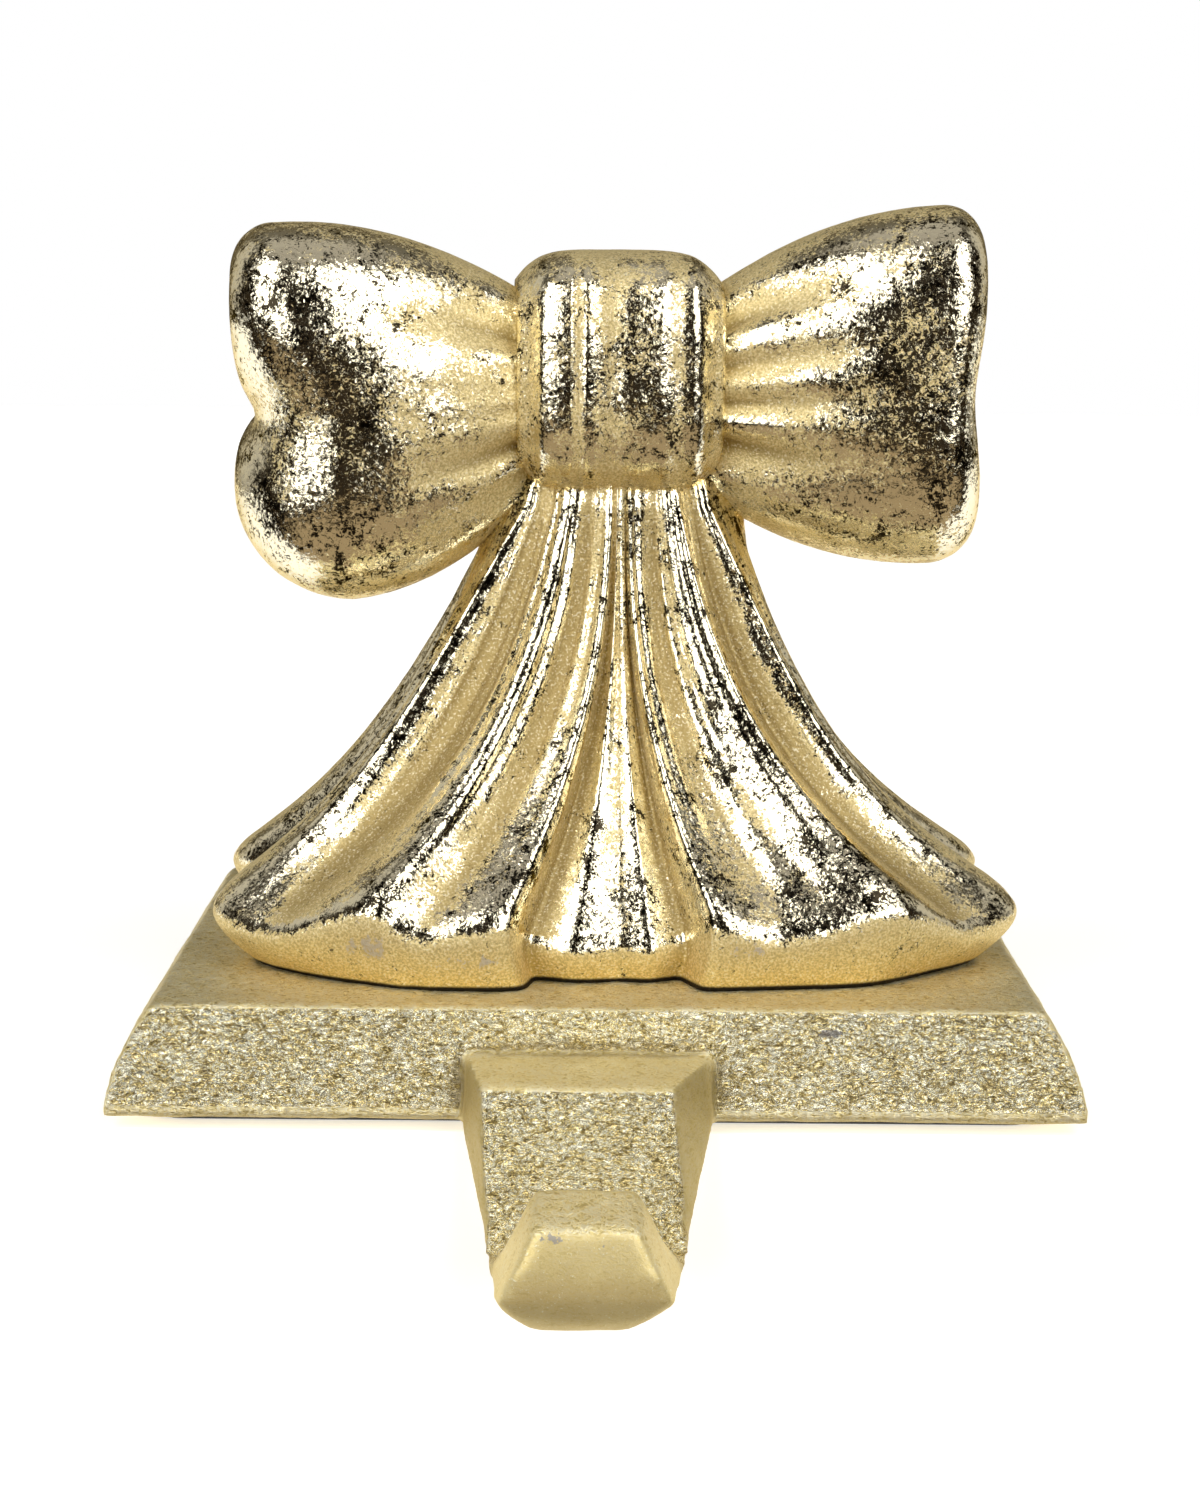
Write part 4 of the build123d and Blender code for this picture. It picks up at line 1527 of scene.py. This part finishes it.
@dataclass
class BaseCasting:
    """Plate, arm and hook in one rough casting, whose arm leans out on its left flank."""

    relief: Relief = Relief(wave_size=9.0, wave_depth=0.25, grain_size=1.2, grain_depth=0.26)
    voxel: float = 0.56
    arm_from: float = -43.0
    arm_reach: float = 7.0
    arm_end: float = -58.0
    arm_end_fade: float = 5.0
    arm_half: float = 9.0
    arm_low: float = -9.0
    arm_fade: float = 11.0
    arm_lean: float = 2.6
    scuffs: tuple[Scuff, ...] = (
        Scuff((27.5, -41.5, 12.0), (2.2, 3.0, 0.9), 0.9),
        Scuff((-4.5, -69.5, -3.0), (2.4, 2.5, 1.2), 0.7),
        Scuff((1.5, -70.0, -3.6), (1.8, 2.5, 1.0), 0.65),
        Scuff((12.0, -42.5, 2.5), (0.7, 2.0, 0.9), 1.0),
    )

    def lean(self, work: bmesh.types.BMesh) -> None:
        """Leans the arm's left flank out.

        Args:
            work: The casting's points and faces.
        """
        for corner in work.verts:
            x, y, z = corner.co / MM
            out = unit((self.arm_from - y) / self.arm_reach) * unit((y - self.arm_end) / self.arm_end_fade)
            out *= unit((z - self.arm_low) / self.arm_fade)
            corner.co.x -= self.arm_lean * MM * out * unit(-x / self.arm_half)

    def join_underside(self, work: bmesh.types.BMesh) -> None:
        """Joins the small faces of the flat underside into large ones.

        Args:
            work: The casting's points and faces.
        """
        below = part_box("felt_pad")[1].z + self.voxel * MM
        down = [f for f in work.faces if f.normal.z < LOOKS_DOWN and f.calc_center_median().z < below]
        bmesh.ops.dissolve_faces(work, faces=down)

    def build(self) -> bpy.types.Object:
        """Makes the base and dresses it.

        Returns:
            The base, riding on the part's body in place of its plain solid.
        """
        plain = linked("plain_base", welded("base_casting", self.lean))
        remesh = plain.modifiers.new("voxels", "REMESH")
        remesh.mode = "VOXEL"
        remesh.voxel_size = self.voxel * MM
        SandSkin("sand_skin", CastPaint()).apply(plain, self.relief)
        made = finished_mesh(plain, "cast_base")
        edited(made.data, self.join_underside)
        paint(made.data, "wear", wear(mesh_points(made.data), self.scuffs))
        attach(made, BODY)
        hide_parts("base_casting")
        return made


@dataclass
class FeltPad:
    """The felt sheet under the plate, with soft cut edges."""

    edge: float = 0.35
    edge_steps: int = 3
    flat_angle: float = 0.02

    def plane(self, work: bmesh.types.BMesh) -> None:
        """Makes each flat side of the sheet one face."""
        bmesh.ops.dissolve_limit(work, angle_limit=self.flat_angle, verts=work.verts, edges=work.edges)

    def build(self) -> bpy.types.Object:
        """Makes the felt and dresses it.

        Returns:
            The felt, riding on the part's body in place of its plain solid.
        """
        plain = linked("plain_felt", welded("felt_pad", self.plane))
        bevel = plain.modifiers.new("edge", "BEVEL")
        bevel.width = self.edge * MM
        bevel.segments = self.edge_steps
        bevel.limit_method = "ANGLE"
        made = coated(finished_mesh(plain, "felt_sheet"), PressedFelt())
        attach(made, BODY)
        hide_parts("felt_pad")
        return made


@dataclass
class FixingScrews:
    """The two screws that hold the bow, which keep their modelled shape."""

    node: str = "fixing_screws"

    def build(self) -> bpy.types.Object:
        """Gives the screws their finish, and returns their own object."""
        return coated(bpy.data.objects[self.node], ZincSteel())


class SoftBox(NamedTuple):
    """One studio light: its direction from the part in degrees, distance and size in metres, and power."""

    name: str
    azimuth: float
    elevation: float
    distance: float
    width: float
    height: float
    power: float


class TentPanel(NamedTuple):
    """One glowing panel of the light tent, between angles in degrees from the camera's side."""

    left: float
    right: float
    low: float
    high: float
    glow: Colour


@dataclass
class Studio:
    """White shelf, soft boxes, surroundings and the camera."""

    shelf_front: float = -41.0
    shelf_size: float = 1800.0
    shelf_thick: float = 160.0
    focal_pixels: float = 2872.0
    nearest: float = 10.0
    camera: Triple = (-0.35, -366.7, 99.6)
    pitch: float = 9.27
    roll: float = -0.5
    aim: Triple = (0.0, 0.0, 60.0)
    tint: Colour = (1.0, 0.985, 0.96)
    boxes: tuple[SoftBox, ...] = (
        SoftBox("left_high", -52.0, 46.0, 0.70, 0.40, 0.30, 0.5),
        SoftBox("right_high", 52.0, 46.0, 0.70, 0.40, 0.30, 0.5),
    )
    room: Colour = (1.0, 1.0, 1.0)
    dark: Colour = (0.020, 0.013, 0.006)
    back: Colour = (0.15, 0.14, 0.12)
    back_band: Band = Band(-0.2, 0.6)
    panel_edge: float = 4.0
    panels: tuple[TentPanel, ...] = (
        TentPanel(-60.0, -20.0, -2.0, 58.0, (3.0, 2.97, 2.86)),
        TentPanel(16.5, 58.0, 2.0, 60.0, (3.0, 2.97, 2.86)),
        TentPanel(-135.0, -100.0, 0.0, 50.0, (0.40, 0.38, 0.34)),
        TentPanel(100.0, 135.0, 0.0, 50.0, (0.40, 0.38, 0.34)),
        TentPanel(-60.0, 60.0, -62.0, -18.0, (0.34, 0.26, 0.16)),
        TentPanel(-180.0, 180.0, 66.0, 95.0, (0.36, 0.34, 0.31)),
    )

    def build(self) -> None:
        """Sets the stage, the lights, the surroundings and the camera."""
        self.shelf()
        for box in self.boxes:
            self.light(box)
        self.surroundings()
        self.look()

    def shelf(self) -> None:
        """A plain white shelf whose front edge is just behind the arm."""
        made = linked("shelf", edited(bpy.data.meshes.new("shelf"), self.block))
        coated(made, ShelfPaint())

    def block(self, work: bmesh.types.BMesh) -> None:
        """Makes the shelf's block.

        Args:
            work: The empty mesh that gets it.
        """
        size, thick = self.shelf_size * MM, self.shelf_thick * MM
        bmesh.ops.create_cube(work, size=1.0)
        bmesh.ops.scale(work, vec=(size, size, thick), verts=work.verts)
        middle = (0, size / 2 + self.shelf_front * MM, -thick / 2)
        bmesh.ops.translate(work, vec=middle, verts=work.verts)

    def light(self, box: SoftBox) -> None:
        """Hangs one soft box.

        Args:
            box: The light.
        """
        data = bpy.data.lights.new(box.name, "AREA")
        data.shape = "RECTANGLE"
        data.size = box.width
        data.size_y = box.height
        data.energy = box.power
        data.color = self.tint
        across, up = math.radians(box.azimuth), math.radians(box.elevation)
        way = Vector((math.sin(across) * math.cos(up), -math.cos(across) * math.cos(up), math.sin(up)))
        made = linked(box.name, data)
        made.location = Vector(self.aim) * MM + way * box.distance
        made.rotation_euler = (-way).to_track_quat("-Z", "Y").to_euler()

    def surroundings(self) -> None:
        """A white room to look at; a light tent with a dark slit in its front to be mirrored."""
        world = bpy.data.worlds.new("studio")
        bpy.context.scene.world = world
        world.use_nodes = True
        g = Graph(world.node_tree)
        way = g.axes(g.out("ShaderNodeTexCoord", "Generated"))
        across = g.math("ARCTAN2", way["X"], g.math("MULTIPLY", way["Y"], -1.0))
        up = g.math("ARCSINE", way["Z"])
        tent = g.mix(g.ramp(way["Y"], self.back_band), self.dark, self.back)
        for panel in self.panels:
            sides = self.inside(g, across, panel.left, panel.right)
            ends = self.inside(g, up, panel.low, panel.high)
            tent = g.vector("MULTIPLY_ADD", g.math("MULTIPLY", sides, ends), panel.glow, tent)
        shade = g.mix(g.out("ShaderNodeLightPath", "Is Camera Ray"), tent, self.room)
        g.node("ShaderNodeOutputWorld", {"Surface": g.out("ShaderNodeBackground", 0, {"Color": shade})})

    def inside(self, g: Graph, angle: Any, first: float, last: float) -> Any:
        """How far a direction lies inside two soft edges of a panel.

        Args:
            g: The world's nodes.
            angle: The direction's angle in radians.
            first: The first edge's angle in degrees.
            last: The last edge's angle in degrees.

        Returns:
            The socket of a share, 1 inside and 0 outside.
        """
        soft = self.panel_edge
        rise = Band(math.radians(first - soft), math.radians(first + soft))
        fall = Band(math.radians(last + soft), math.radians(last - soft))
        return g.math("MULTIPLY", g.ramp(angle, rise), g.ramp(angle, fall))

    def look(self) -> None:
        """The camera at the photograph's angle."""
        data = bpy.data.cameras.new("camera")
        data.sensor_fit = "AUTO"
        data.sensor_width = SENSOR
        data.lens = self.focal_pixels / IMAGE_LONG_SIDE * SENSOR
        data.clip_start = self.nearest * MM
        made = linked("camera", data)
        made.location = Vector(self.camera) * MM
        made.rotation_euler = Euler((math.radians(90 - self.pitch), math.radians(self.roll), 0))
        bpy.context.scene.camera = made
        bpy.context.scene.view_settings.view_transform = "Standard"


def main() -> None:
    """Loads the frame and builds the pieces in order."""
    logging.basicConfig(level=logging.INFO, format="%(name)s: %(message)s")
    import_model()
    pieces = [*BowFigure().build(), BaseCasting().build(), FeltPad().build(), FixingScrews().build()]
    for piece in pieces:
        count = sum(len(face.vertices) - 2 for face in piece.data.polygons)
        log.info("%s: %d triangles", piece.name, count)
    Studio().build()


if __name__ == "__main__":
    main()
